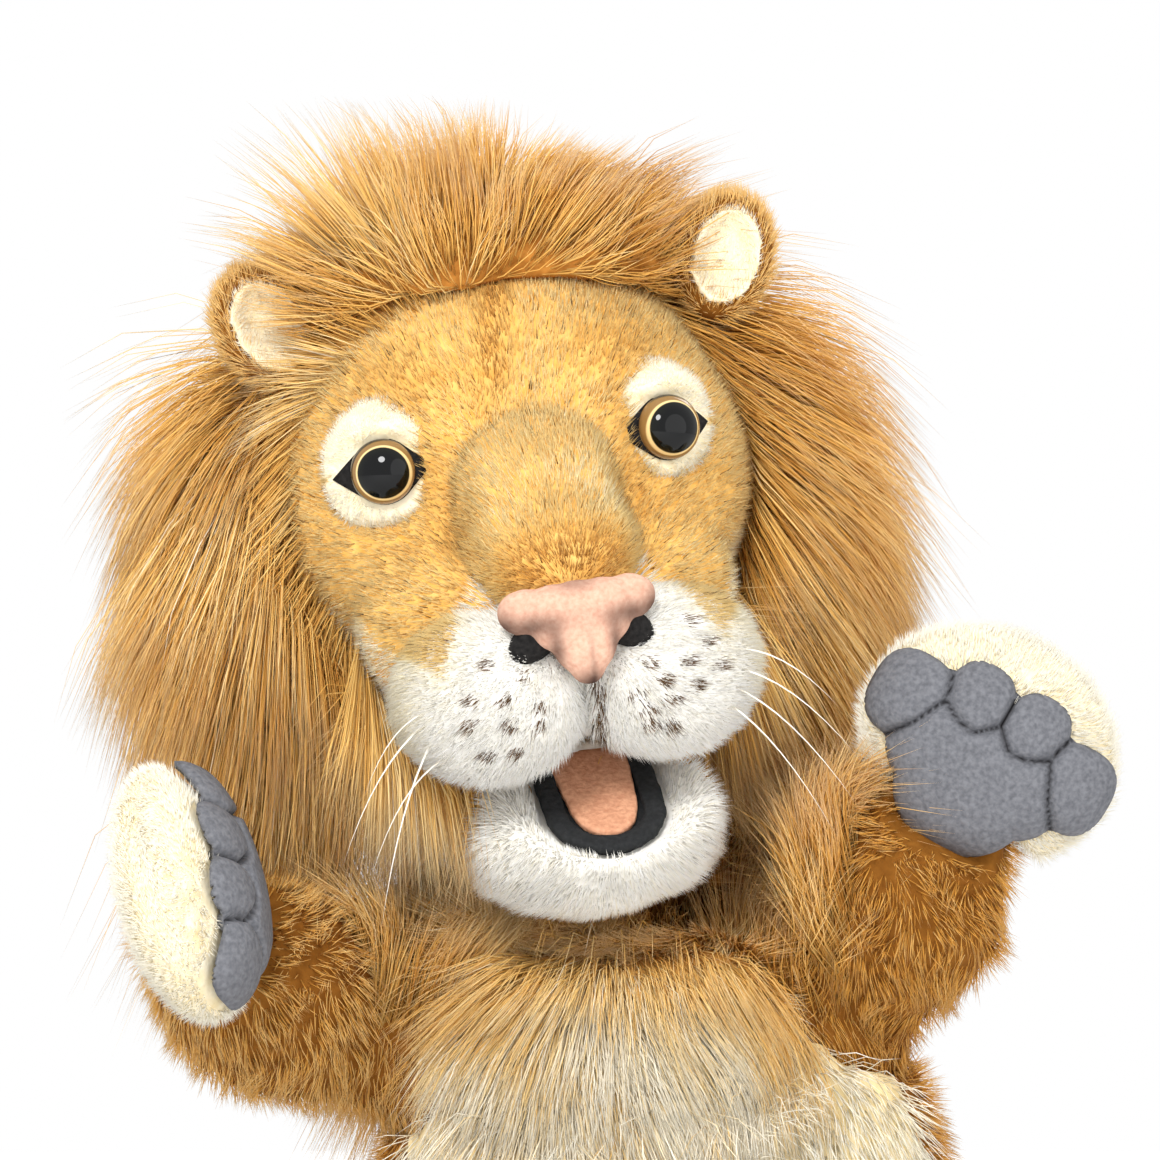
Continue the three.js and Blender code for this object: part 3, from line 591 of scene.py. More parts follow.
def keptIn(paths):
    for axis in range(3):
        low, high = cadBox[0][axis] - hairRoom["free"], cadBox[1][axis] + hairRoom["free"]
        over, under = np.clip(paths[..., axis] - high, 0, None), np.clip(low - paths[..., axis], 0, None)
        most = hairRoom["most"]
        paths[..., axis] += most * (np.tanh(over / most) - np.tanh(under / most)) - over + under
    paths[..., 2] = np.maximum(paths[..., 2], strandForm["lowest"])
    return paths


def growFur(name, skin, spec, kind, comb, tone, allow=None, reach=None, solid=None, rise=None):
    (body,) = body_of(skin)
    place = placeOf(body)
    rng = np.random.default_rng(spec["seed"])
    allow = allow or (lambda spots, facing: np.ones(len(spots), bool))
    roots, normals = scatter(skin, place, spec["count"], rng, allow)
    count, rings = len(roots), spec["rings"]
    length = rng.uniform(*spec["length"], count)
    if reach:
        length = length * reach(roots)
    way = (rise or comb)(roots)
    flat = unit(way - normals * (way * normals).sum(axis=1, keepdims=True))
    stray = rng.normal(size=(count, 3)) * spec["stray"]
    sway = waves(roots, spec["span"], spec["seed"]) * spec["sway"]
    heading = unit(normals * spec["lift"] + flat * (1 - spec["lift"]) + stray + sway)
    paths = np.empty((count, rings, 3))
    paths[:, 0] = roots - normals * strandForm["sunk"]
    hover = rng.uniform(*strandForm["hovers"], count) * spec.get("hover", 0)
    for ring in range(1, rings):
        paths[:, ring] = paths[:, ring - 1] + heading * (length / (rings - 1))[:, None]
        if solid:
            paths[:, ring] = pushedOut(paths[:, ring], solid, hover)
            heading = unit(paths[:, ring] - paths[:, ring - 1])
        turn = comb(paths[:, ring]) + waves(paths[:, ring], spec["span"], spec["seed"] + ring) * spec["sway"]
        heading = unit(heading + turn * spec.get("bend", 0))
    if spec.get("lock"):
        paths = gathered(paths, roots, spec, rng)
    shades = tone(roots, rng) if callable(tone) else np.full(count, tone)
    shades = shades + rng.normal(size=count) * spec["toneSpread"]
    widths = rng.uniform(*strandForm["widths"], count) * spec["width"] * mm
    piece = strandMesh(name, keptIn(moved(paths, place)), widths, shades)
    piece.data.materials.append(furs[kind])
    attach(piece, body)
    print(name, count, "strands,", len(piece.data.polygons), "triangles")
    return piece


def bell(points, centre, radii):  # 1 at a centre, fading over its radii
    return np.exp(-(((points - np.array(centre)) / np.array(radii)) ** 2).sum(axis=1))


def away(centre):  # combed straight away from a point
    return lambda points: unit(points - np.array(centre))


def steady(*way):
    return lambda points: np.tile(unit(np.array(way, float)), (len(points), 1))


def fade(values, start, end):  # 0 before the start, 1 past the end
    return np.clip((values - start) / (end - start), 0, 1)


# camera, light and floor

view = {"aim": (-0.0187, -0.030, 0.1848), "frameWidth": 0.2552, "distance": 2.6, "sensor": 36.0}


def makeCamera():
    data = bpy.data.cameras.new("photoCamera")
    data.sensor_width = view["sensor"]
    data.lens = view["sensor"] * view["distance"] / view["frameWidth"]
    camera = bpy.data.objects.new("photoCamera", data)
    camera.location = Vector(view["aim"]) - Vector((0, view["distance"], 0))
    camera.rotation_euler = (math.pi / 2, 0, 0)
    bpy.context.scene.collection.objects.link(camera)
    bpy.context.scene.camera = camera


studio = {
    "key": {"from": (-0.34, -1.15, 0.95), "size": 0.42, "power": 13.0},
    "fill": {"from": (0.9, -1.0, 0.3), "size": 1.7, "power": 6.5},
    "back": {"from": (0.3, 0.9, 0.9), "size": 0.8, "power": 8.0},
    "worldLight": 0.95,
    "floorSize": 2.4,
    "floorWhite": 0.6,
}


def makeLights():
    target = Vector(view["aim"])
    for name in ("key", "fill", "back"):
        spec = studio[name]
        data = bpy.data.lights.new(f"{name}Light", "AREA")
        data.shape = "DISK"
        data.size = spec["size"]
        data.energy = spec["power"]
        lamp = bpy.data.objects.new(f"{name}Light", data)
        lamp.location = spec["from"]
        lamp.rotation_euler = (target - lamp.location).to_track_quat("-Z", "Y").to_euler()
        bpy.context.scene.collection.objects.link(lamp)
    world = bpy.data.worlds.new("studio")
    bpy.context.scene.world = world
    world.use_nodes = True
    wire = Wire(world.node_tree)
    path = wire.node("ShaderNodeLightPath", output="Is Camera Ray")
    seen = path.maths("MAXIMUM", path, path.out("Is Glossy Ray"))
    seen = seen.maths("MAXIMUM", seen, path.out("Is Transmission Ray"))
    strength = studio["worldLight"] + seen * (1 - studio["worldLight"])
    plug(strength, world.node_tree.nodes["Background"], "Strength")
    world.node_tree.nodes["Background"].inputs["Color"].default_value = (1, 1, 1, 1)


def makeFloor():
    deselectAll()
    bpy.ops.mesh.primitive_circle_add(vertices=64, radius=studio["floorSize"] / 2, fill_type="NGON")
    floor = bpy.context.object
    floor.name = "studioFloor"
    finish, shader, wire = newFinish("paleFloor", 0.9, Base_Color=(0.9, 0.9, 0.9, 1))
    path = wire.node("ShaderNodeLightPath", output="Is Camera Ray")
    glow = wire.node("ShaderNodeEmission", None, {"Color": (1, 1, 1, 1), "Strength": 1.0})
    share = path * studio["floorWhite"]
    mixed = wire.node("ShaderNodeMixShader", None, {0: share, 1: Wire(wire.tree, shader.outputs[0]), 2: glow})
    plug(mixed, finish.node_tree.nodes["Material Output"], "Surface")
    floor.data.materials.append(finish)


bpy.context.scene.view_settings.view_transform = "Standard"
makeCamera()
makeLights()
makeFloor()
print("camera, lights and floor made")


# finishes without fur

def velourFinish(name, dark, light, marks=None, grain=900.0):
    finish, shader, wire = newFinish(name, 0.88, Specular_IOR_Level=0.15)
    pile = wire.noise(grain, 2.0)
    colour = pile.ramp((0.3, dark), (0.7, light))
    # a point attribute mixes in the darker colour: stitched seams on the soles, painted shade and darker lines
    # on the nose
    if marks:
        seen = wire.node("ShaderNodeAttribute", {"attribute_name": "marks"}, output="Fac")
        colour = wire.mixed(seen, colour, marks)
    plug(colour, shader, "Base Color")
    bump(wire, shader, pile, 0.5, 0.0006)
    return finish


def clothFinish(name, dark, light, threads=1500.0):
    finish, shader, wire = newFinish(name, 0.9, Specular_IOR_Level=0.2)
    place = wire.node("ShaderNodeTexCoord", output="Object")
    settings = {"wave_type": "BANDS", "bands_direction": "DIAGONAL"}
    weave = wire.node("ShaderNodeTexWave", settings, {"Vector": place, "Scale": threads / 6}, "Fac")
    plug(weave.ramp((0.2, dark), (0.8, light)), shader, "Base Color")
    bump(wire, shader, weave, 0.3, 0.0003)
    return finish


def plainFinish(name, dark, light, roughness):
    finish, shader, wire = newFinish(name, roughness)
    plug(wire.noise(500.0).ramp((0.3, dark), (0.7, light)), shader, "Base Color")
    return finish


# how much of a velour's darker colour shows at each point: seams on the soles and painted shade on the nose
def marked(piece, values):
    layer = piece.data.attributes.new("marks", "FLOAT", "POINT")
    layer.data.foreach_set("value", np.clip(values, 0, 1).astype(np.float32))
    return piece


blackFelt = velourFinish("blackFelt", paint(18, 17, 17), paint(40, 38, 37))
lipCloth = velourFinish("lipCloth", paint(34, 35, 36), paint(46, 47, 48))
liningCloth = clothFinish("liningCloth", paint(112, 78, 44), paint(146, 104, 62))


# head

headForm = {
    "skull": {"centre": (0, 0, 0), "radii": (52, 49, 54)},
    "jowl": {"centre": (0, -33, -32), "radii": (41, 29, 26)},
    "voxel": 3.0, "soften": 8, "pressure": 3.0, "swell": 1.0, "fill": 0.8,
    "bumps": (  # centre, radius, push
        ((-27, -44, 23), 12, 2.4), ((27, -44, 23), 12, 2.4),
        ((-31, -40, 4), 12, -2.4), ((31, -40, 4), 12, -2.4),
        ((0, -50, 30), 10, -1.2),
        ((-36, -34, -18), 14, 3.2), ((36, -34, -18), 14, 3.2),
        ((-48, -16, -4), 20, 1.5), ((47, -18, -4), 22, 3.6),
    ),
}


def makeHead():
    skull = ballAt(headForm["skull"]["centre"], headForm["skull"]["radii"], place=headPlace)
    jowl = ballAt(headForm["jowl"]["centre"], headForm["jowl"]["radii"], place=headPlace)
    head = joined("headSkin", skull, jowl)
    remeshed(head, headForm["voxel"])
    softened(head, headForm["soften"])
    filled(head, headForm["pressure"], headForm["swell"])
    subdivided(head)
    local = moved(cornersOf(head.data), headPlace.inverted())
    push = np.zeros(len(local))
    for centre, radius, height in headForm["bumps"]:
        push += bell(local, centre, (radius,) * 3) * height
    setCorners(head, cornersOf(head.data) + normalsOf(head.data) * push[:, None] * mm)
    return dressed(head, "head", skins["tan"], ("face_skin", "scalp_skin", "head_stuffing"))


headSkin = makeHead()
headSolid = obstacle(headPlace, headSkin)
print("head made")


bridgeForm = {
    "middle": -12, "edge": 0.3, "edgeLeast": 0.03, "edgeRound": 0.6,
    "heights": ((-28, 12), (1.0, 0.42)),  # z, and the share of the height that is kept there
}


def bridgeRise(points):  # full height at the nose, low between the eyes, dying away at its edges
    middle = bridgeForm["middle"]
    beside = np.abs(points[:, 0]) / np.abs(points[:, 0]).max()
    above = np.clip((points[:, 2] - middle) / (points[:, 2].max() - middle), 0, 1)
    edge = np.clip((1 - np.maximum(beside, above)) / bridgeForm["edge"], bridgeForm["edgeLeast"], 1)
    return np.interp(points[:, 2], *bridgeForm["heights"]) * edge ** bridgeForm["edgeRound"]


mouthFloor = {
    "front": (0, -61, -85), "slope": 41, "middle": 13.5, "lipRadius": 13.5, "aside": 3,
    "rollHeight": 4.5, "rollWidth": (6.5, 14), "rollFrom": -4, "rollBack": (28, 40),
    "rollDepth": 9, "rollFade": 7,
    "drawnBack": 0.55, "tongueWidths": ((5, 12, 27), (0.8, 0.9, 1.2)),
    "bed": {"behind": 6, "above": 0.1, "inside": 1, "halfLength": 19, "halfThickness": 0.8},
}


def floorFrame():  # X across, Y back along the mouth's floor, Z out of it
    slope = math.radians(mouthFloor["slope"])
    across, back = Vector((1, 0, 0)), Vector((0, math.cos(slope), math.sin(slope)))
    basis = Matrix((across, back, across.cross(back))).transposed().to_4x4()
    return Matrix.Translation(mouthFloor["front"]) @ basis


def fromLip(points):  # distance outside the lip's U, and height over the mouth's floor
    across, back, height = moved(points, floorFrame().inverted()).T
    across = across - mouthFloor["aside"]
    out = np.where(back < mouthFloor["middle"], np.hypot(across, back - mouthFloor["middle"]), np.abs(across))
    return out - mouthFloor["lipRadius"], height, back


def rolledRim(points):  # the chin's plush swells up round the lip
    out, height, back = fromLip(points)
    width = np.interp(back, (mouthFloor["rollFrom"], mouthFloor["middle"]), mouthFloor["rollWidth"])
    raised = np.clip((height + mouthFloor["rollDepth"]) / mouthFloor["rollFade"], 0, 1)
    roll = np.sin(np.pi * np.clip(out / width, 0, 1)) * raised
    roll *= np.interp(back, mouthFloor["rollBack"], (1, 0)) * mouthFloor["rollHeight"]
    return points + roll[:, None] * np.array(floorFrame().col[2][:3])


shoulderForm = {"rise": 11, "at": 22, "half": 15, "above": 95, "fade": 15, "way": (0.2, -0.3, 1)}


def highShoulder(points):  # fills the space between the right of the mane and the sleeve
    beside = np.exp(-((points[:, 0] - shoulderForm["at"]) / shoulderForm["half"]) ** 2)
    high = np.clip((points[:, 2] - shoulderForm["above"]) / shoulderForm["fade"], 0, 1)
    return points + (shoulderForm["rise"] * beside * high)[:, None] * np.array(shoulderForm["way"])


padSpecs = {
    "snoutBridge": {"node": "snout_bridge", "body": "head", "fur": "tan", "voxel": 2.2, "soften": 4,
                    "sit": bridgeRise},
    **bothSides("muzzlePad", "muzzle_pad", "head", fur="white", voxel=2.2, soften=4),
    "chin": {"node": "lower_jaw", "body": "jaw", "fur": "white", "voxel": 2.2, "soften": 4, "grow": -1.5,
             "shape": rolledRim},
    "maneCrown": {"node": "mane_crown", "body": "head", "fur": "mane", "voxel": 3.5, "sit": 0.62},
    "maneLeft": {"node": "mane_left", "body": "head", "fur": "mane", "voxel": 3.5, "sit": 0.62},
    "maneRight": {"node": "mane_right", "body": "head", "fur": "mane", "voxel": 3.5, "sit": 0.72},
    "maneNape": {"node": "mane_nape", "body": "head", "fur": "mane", "voxel": 3.5, "sit": 0.72},
    "chestBib": {"node": "chest_bib", "body": "torso", "fur": "bib", "voxel": 4, "grow": -3},
    "maneCape": {"node": "mane_cape", "body": "torso", "fur": "mane", "voxel": 4, "grow": -4,
                 "shape": highShoulder},
    **bothSides("paw", "paw", "paw", fur="cream", voxel=3, grow=-1.5),
    **bothSides("ear", "ear", "head", fur="amber", voxel=1.4, soften=3),
    **bothSides("earLining", "ear_lining", "head", fur="cream", voxel=1.0, soften=2),
}


def bibFinish():  # mane brown under the chin, fading to the belly's cream, and darker than the hair on it: painted shade between the hairs
    finish, shader, wire = newFinish("bibBacking", 0.9, Specular_IOR_Level=0.1)
    place = wire.node("ShaderNodeTexCoord", output="Object")
    height = wire.node("ShaderNodeSeparateXYZ", None, {0: place}, "Z")
    share = wire.node("ShaderNodeMapRange", None, {"Value": height, "From Min": 0.086, "From Max": 0.106})
    colour = share.ramp((0.0, paint(240, 220, 170)), (0.5, paint(226, 180, 100)), (1.0, paint(160, 102, 42)))
    plug(colour, shader, "Base Color")
    return finish


skins["bib"] = bibFinish()
pads = {name: stuffed(name, spec) for name, spec in padSpecs.items()}
print("stuffed pieces made")

shellForm = {"cuts": 2, "soften": 10, "fill": 0.3}
shellSpecs = {
    "chestPanel": {"node": "chest_panel", "body": "torso", "fur": "cream", "skin": "bib"},
    "backPanel": {"node": "body_back", "body": "torso", "fur": "amber"},
    **bothSides("armSleeve", "arm_sleeve", "arm", fur="amber"),
}


def makeShell(name, spec):
    piece = castFrom(name, spec["node"])
    editAll(piece)
    bpy.ops.mesh.subdivide(number_cuts=shellForm["cuts"])
    leaveEdit()
    softened(piece, shellForm["soften"])
    kind = spec["fur"]
    skin = skins[spec.get("skin", kind)]
    return dressed(piece, spec["body"], skin, (spec["node"],))


for name, spec in shellSpecs.items():
    pads[name] = makeShell(name, spec)
print("shells made")

# eyes: a felt almond, and a glossy button with a gold ring round a wide pupil

eyeForm = {
    "place": (31, -38, 6), "splay": 22, "seat": 3.2, "radius": 7.2, "dome": 5.5, "glance": (-0.9, -0.35),
    "stem": {"radius": 2.0, "depth": 9, "middle": -1.5},
    "rings": (  # share of the radius, colour
        (0.55, paint(4, 5, 6)), (0.77, paint(14, 16, 10)), (0.79, paint(232, 204, 144)),
        (0.83, paint(232, 204, 144)), (0.85, paint(142, 108, 62)), (0.96, paint(142, 108, 62)),
        (1.0, paint(34, 24, 14)),
    ),
}


def eyeAt(sign):
    splay = math.radians(eyeForm["splay"])
    gaze = Vector((math.sin(splay) * sign, -math.cos(splay), 0))
    up = Vector((0, 0, 1))
    basis = Matrix((up.cross(gaze), up, gaze)).transposed().to_4x4()
    x, y, z = eyeForm["place"]
    return headPlace @ Matrix.Translation((x * sign, y, z)) @ basis


patchForm = {
    "thickness": 2.2, "headRadius": 50, "fill": 0.5,
    "left": {"outer": 14.5, "inner": 10.3, "up": 16, "down": 13.9, "corners": (12.2, 10.6)},
    "right": {"outer": 13.8, "inner": 12, "up": 15.4, "down": 11, "corners": (12.2, 12.0)},
    "lids": (  # rise, half width, height, bow, half height
        (4.4, 9.5, 10.2, 45, 2.6), (1.6, 9, -9.6, -50, 2.4),
    ),
    "almond": {"radius": 7.3, "above": 0.5, "thickness": 1.2, "low": 0.7, "sides": 48, "insets": 5,
               "inset": 0.16},
}


def patchTop(side, sign, x, y):  # height of the patch over the eye's own plane
    form = patchForm[side]
    wide = np.where(x * sign > 0, form["outer"], form["inner"])
    tall = np.where(y > 0, form["up"], form["down"])
    top = patchForm["thickness"] * np.sqrt(np.clip(1 - (x / wide) ** 2 - (y / tall) ** 2, 0, 1))
    for rise, halfWidth, height, bow, halfHeight in patchForm["lids"]:
        top = top + rise * np.exp(-(x / halfWidth) ** 2 - ((y - height + x ** 2 / bow) / halfHeight) ** 2)
    return top - (x ** 2 + y ** 2) / (2 * patchForm["headRadius"])


def makePatch(side, sign):  # taller over the eye, wider on its outer side, with puffed lids
    form = patchForm[side]
    patch = ballAt((0, 0, 0), (1, 1, 1), place=Matrix.Identity(4), segments=48)
    x, y, z = cornersOf(patch.data).T
    upper = z >= -0.01
    x = x * np.where(x * sign > 0, form["outer"], form["inner"])
    y = y * np.where(y > 0, form["up"], form["down"])
    under = -(x ** 2 + y ** 2) / (2 * patchForm["headRadius"]) + z * patchForm["thickness"]
    z = np.where(upper, patchTop(side, sign, x, y), under)
    setCorners(patch, moved(np.stack((x, y, z), axis=1), eyeAt(sign)))
    patch.name = f"eyePatch{side.title()}"
    return dressed(patch, "head", skins["cream"], (f"eye_patch_{side}",))


def makeAlmond(side, sign):  # a round of felt drawn out to a point at each corner of the eye
    form = patchForm["almond"]
    outer, inner = patchForm[side]["corners"]
    deselectAll()
    bpy.ops.mesh.primitive_circle_add(vertices=form["sides"], radius=1, fill_type="NOTHING")
    felt = bpy.context.object
    felt.name = f"eyeLiner{side.title()}"
    editAll(felt)
    bpy.ops.mesh.edge_face_add()
    for _ in range(form["insets"]):
        bpy.ops.mesh.inset(thickness=form["inset"])
    bpy.ops.mesh.poke()
    leaveEdit()
    x, y, _ = cornersOf(felt.data).T
    reach = np.where(x * sign > 0, outer, inner)
    touch = form["radius"] / reach  # where the line to the corner leaves the round
    along = np.abs(x)
    stretch = np.where(along > touch, touch + (along - touch) / (1 - touch) * (1 / touch - touch), along)
    arc = np.sqrt(np.clip(1 - along ** 2, 0, 1))
    straight = (1 / touch - stretch) / (1 / touch - touch) * np.sqrt(1 - touch ** 2)
    height = np.where(along > touch, straight, arc)
    level = y / np.maximum(arc, 1e-6)
    x, y = np.sign(x) * stretch * form["radius"], np.clip(level, -1, 1) * height * form["radius"]
    z = patchTop(side, sign, x, y * form["low"]) + form["above"]
    setCorners(felt, moved(np.stack((x, y, z), axis=1), eyeAt(sign)))
    applied(felt, "SOLIDIFY", thickness=form["thickness"] * mm, offset=-1)
    return dressed(felt, "head", blackFelt, (f"eye_liner_{side}",))


def eyeFinish(name, place, sign):  # painted behind the dome, so it shows a little inward and low
    finish, shader, wire = newFinish(name, 0.05, Specular_IOR_Level=0.28)
    inward, low = eyeForm["glance"]
    spot, spin, _ = (place @ Matrix.Translation((sign * inward, low, 0))).decompose()
    centred = wire.node("ShaderNodeVectorMath", {"operation": "SUBTRACT"},
                        {0: wire.node("ShaderNodeTexCoord", output="Object"), 1: tuple(spot)})
    upright = wire.node("ShaderNodeVectorRotate", {"rotation_type": "EULER_XYZ", "invert": True},
                        {"Vector": centred, "Rotation": tuple(spin.to_euler())})
    parts = wire.node("ShaderNodeSeparateXYZ", None, {0: upright}, "X")
    rise = parts.out("Y")
    share = ((parts * parts + rise * rise) ** 0.5) / (eyeForm["radius"] * mm)
    plug(share.ramp(*eyeForm["rings"]), shader, "Base Color")
    return finish


def makeEye(side, sign):
    place = eyeAt(sign)
    radius, stemForm = eyeForm["radius"], eyeForm["stem"]
    dome = ballAt((0, 0, eyeForm["seat"]), (radius, radius, eyeForm["dome"]), place=place, segments=64)
    stemRadii = (stemForm["radius"], stemForm["radius"], stemForm["depth"])
    stem = ballAt((0, 0, stemForm["middle"]), stemRadii, place=place)
    eye = joined(f"eye{side.title()}", dome, stem)
    dressed(eye, "head", eyeFinish(f"eyeGloss{side.title()}", place, sign), (f"eye_{side}",))
    washer = nodes[f"eye_washer_{side}"]
    washer.data.materials.clear()
    washer.data.materials.append(washerPlastic)


washerPlastic = plainFinish("washerPlastic", paint(218, 216, 206), paint(232, 230, 222), 0.4)
for side, sign in sides.items():
    makeEye(side, sign)
    makeAlmond(side, sign)
    pads[f"eyePatch{side.title()}"] = makePatch(side, sign)
print("eyes made")

# nose and mouth

noseForm = {
    "voxel": 0.9,
    "pairedLobes": (  # centre, radii, turn
        ((11, -74.6, -29.4), (6.8, 4.4, 5.3), (0, -6, 0)), ((5, -76.8, -30.2), (7.4, 5.2, 6.2), (0, -6, 0)),
        ((2.2, -77.2, -36.6), (5.2, 4.8, 7.4), (-8, 0, 0)), ((5.8, -76.6, -33.6), (5.2, 4.6, 5.0), (0, 0, 0)),
    ),
    "lobes": (((0, -76.6, -42), (4.2, 4.0, 5.0), (-8, 0, 0)), ((0, -76.4, -29.2), (7.5, 4.8, 5.4), (0, 0, 0))),
    "nostril": {"centre": (10.2, -73.6, -35.6), "radii": (6.4, 3.6, 4.2), "turn": 30},
    "pairedPaintedShade": (  # painted shade under the wings and beside the nostrils, on both sides: how dark, centre, radii
        (0.95, (9.8, -73.6, -32.6), (6.4, 12, 2.7)), (0.8, (6.4, -76, -38.5), (1.8, 12, 4.5)),
        (0.6, (17, -74, -31.5), (2.6, 12, 4)),
    ),
    # darker at the tip, along a line over the top and along a line down the middle
    "marks": (
        (0.9, (0, -76, -46.5), (3.6, 12, 3.2)), (0.6, (0, -74, -25), (5, 9, 2.0)),
        (0.3, (0.8, -80, -41), (0.8, 12, 6)),
    ),
    "soften": 6, "fill": 0.7,
}


def makeNose():
    lobes = [ballAt(centre, radii, turn, headPlace) for centre, radii, turn in noseForm["lobes"]]
    for sign in sides.values():
        for (x, y, z), radii, (nod, lean, _) in noseForm["pairedLobes"]:
            lobes.append(ballAt((sign * x, y, z), radii, (nod, sign * lean, 0), headPlace))
    nose = joined("nosePad", *lobes)
    remeshed(nose, noseForm["voxel"])
    softened(nose, noseForm["soften"])
    subdivided(nose)
    local = moved(cornersOf(nose.data), headPlace.inverted())
    # the nose is darkened under its wings and beside its nostrils as painted shade, and at its tip and along
    # two lines
    dark = np.zeros(len(local))
    for share, (x, y, z), radii in noseForm["pairedPaintedShade"]:
        for sign in sides.values():
            dark += share * bell(local, (sign * x, y, z), radii)
    for share, centre, radii in noseForm["marks"]:
        dark += share * bell(local, centre, radii)
    marked(nose, dark)
    finish = velourFinish("noseVelour", paint(210, 160, 136), paint(228, 184, 160), paint(50, 32, 28))
    dressed(nose, "head", finish, ("nose_pad",))
    nostril = noseForm["nostril"]
    x, y, z = nostril["centre"]
    for side, sign in sides.items():
        patch = ballAt((x * sign, y, z), nostril["radii"], (0, nostril["turn"] * sign, 0), headPlace)
        patch.name = f"nostrilPatch{side.title()}"
        dressed(patch, "head", blackFelt, (f"nostril_patch_{side}",))


def softCopy(name, node, voxel, rounds, body, finish, shape=None):
    piece = castFrom(name, node)
    remeshed(piece, voxel)
    softened(piece, rounds)
    if shape:
        reshaped(piece, headPlace @ floorFrame(), shape)
    subdivided(piece)
    return dressed(piece, body, finish, (node,))


def toOneSide(points):  # also drawn back under the muzzle
    back = np.clip(points[:, 1] - mouthFloor["middle"], 0, None) * mouthFloor["drawnBack"]
    return points + np.stack((0 * back + mouthFloor["aside"], back, 0 * back), axis=1)


def taperedTongue(points):  # a rounded V, widest at the back
    across = points[:, 0] * np.interp(points[:, 1], *mouthFloor["tongueWidths"])
    return toOneSide(np.stack((across, points[:, 1], points[:, 2]), axis=1))


def makeMouthBed():
    form = mouthFloor["bed"]
    middle = (mouthFloor["aside"], mouthFloor["middle"] + form["behind"], form["above"])
    radii = (mouthFloor["lipRadius"] - form["inside"], form["halfLength"], form["halfThickness"])
    bed = ballAt(middle, radii, place=headPlace @ floorFrame())
    bed.name = "mouthBed"
    dressed(bed, "jaw", lipCloth)


makeNose()
tongueVelour = velourFinish("tongueVelour", paint(196, 136, 104), paint(222, 166, 132))
makeMouthBed()
softCopy("lowerLip", "lower_lip", 0.9, 5, "jaw", lipCloth, toOneSide)
softCopy("tongueFelt", "tongue", 0.8, 4, "jaw", tongueVelour, taperedTongue)
softCopy("mouthRoof", "mouth_roof", 0.8, 2, "head", lipCloth)
print("nose and mouth made")

# linings, cuff and hem, mostly out of sight

innerSpecs = {  # node, body, what a sewn bag or tube hangs in
    "handLining": ("hand_lining", "torso", "body_back"), "hemBinding": ("hem_binding", "torso", None),
    "neckCuff": ("neck_cuff", "neck", "body_back"),
    "fingerPocket": ("head_finger_pocket", "head", "head_stuffing"),
    "fingerLiningLeft": ("finger_lining_left", "arm_left", "arm_sleeve_left"),
    "fingerLiningRight": ("finger_lining_right", "arm_right", "arm_sleeve_right"),
}


def makeInner(name, node, body):
    piece = castFrom(name, node)
    editAll(piece)
    bpy.ops.mesh.subdivide(number_cuts=1, smoothness=0)
    leaveEdit()
    if body.startswith("arm_"):
        tucked(piece, body.removeprefix("arm_"), soleForm["liningTuck"])
    dressed(piece, body, liningCloth, (node,))
    bpy.ops.object.shade_smooth_by_angle(angle=math.radians(50))


# paws' soles: a puffed palm and four toes with stitched lines between them

soleForm = {
    "grain": 0.8, "thickness": 3.4, "edge": 6.5, "seam": 0.6, "groove": 2.0, "grooveHalf": 1.4,
    "meeting": 1.5, "borderSlack": 1.2, "leastFace": 0.25, "cloth": 1.5, "fill": 0.6,
    "tuck": 3, "liningTuck": 6,
    "pawRadii": (32, 27, 14),
    "toes": ((-20.4, 1, 9.2, 10), (-7.1, 6, 7.8, 10.2), (7.1, 6, 7.8, 10.2), (20.4, 1, 9.2, 10)),
    "square": 2.6,
    "palm": ((0, -10, 16), (-10, -5, 11.5), (10, -5, 11.5)),
}


def lobeDepths(x, y):  # how far inside each lobe, the palm first
    palm = np.max([radius - np.hypot(x - cx, y - cy) for cx, cy, radius in soleForm["palm"]], axis=0)
    toes = []
    for cx, cy, rx, ry in soleForm["toes"]:
        power = soleForm["square"]
        share = (np.abs((x - cx) / rx) ** power + np.abs((y - cy) / ry) ** power) ** (1 / power)
        toes.append((1 - share) * min(rx, ry))
    return np.stack((palm, *toes))


def outerDepth(x, y):
    return lobeDepths(x, y).max(axis=0)


def pawTop(x, y):  # height of the paw's stuffing
    wide, long, deep = soleForm["pawRadii"]
    return deep * np.sqrt(np.clip(1 - (x / wide) ** 2 - (y / long) ** 2, 0.02, 1))


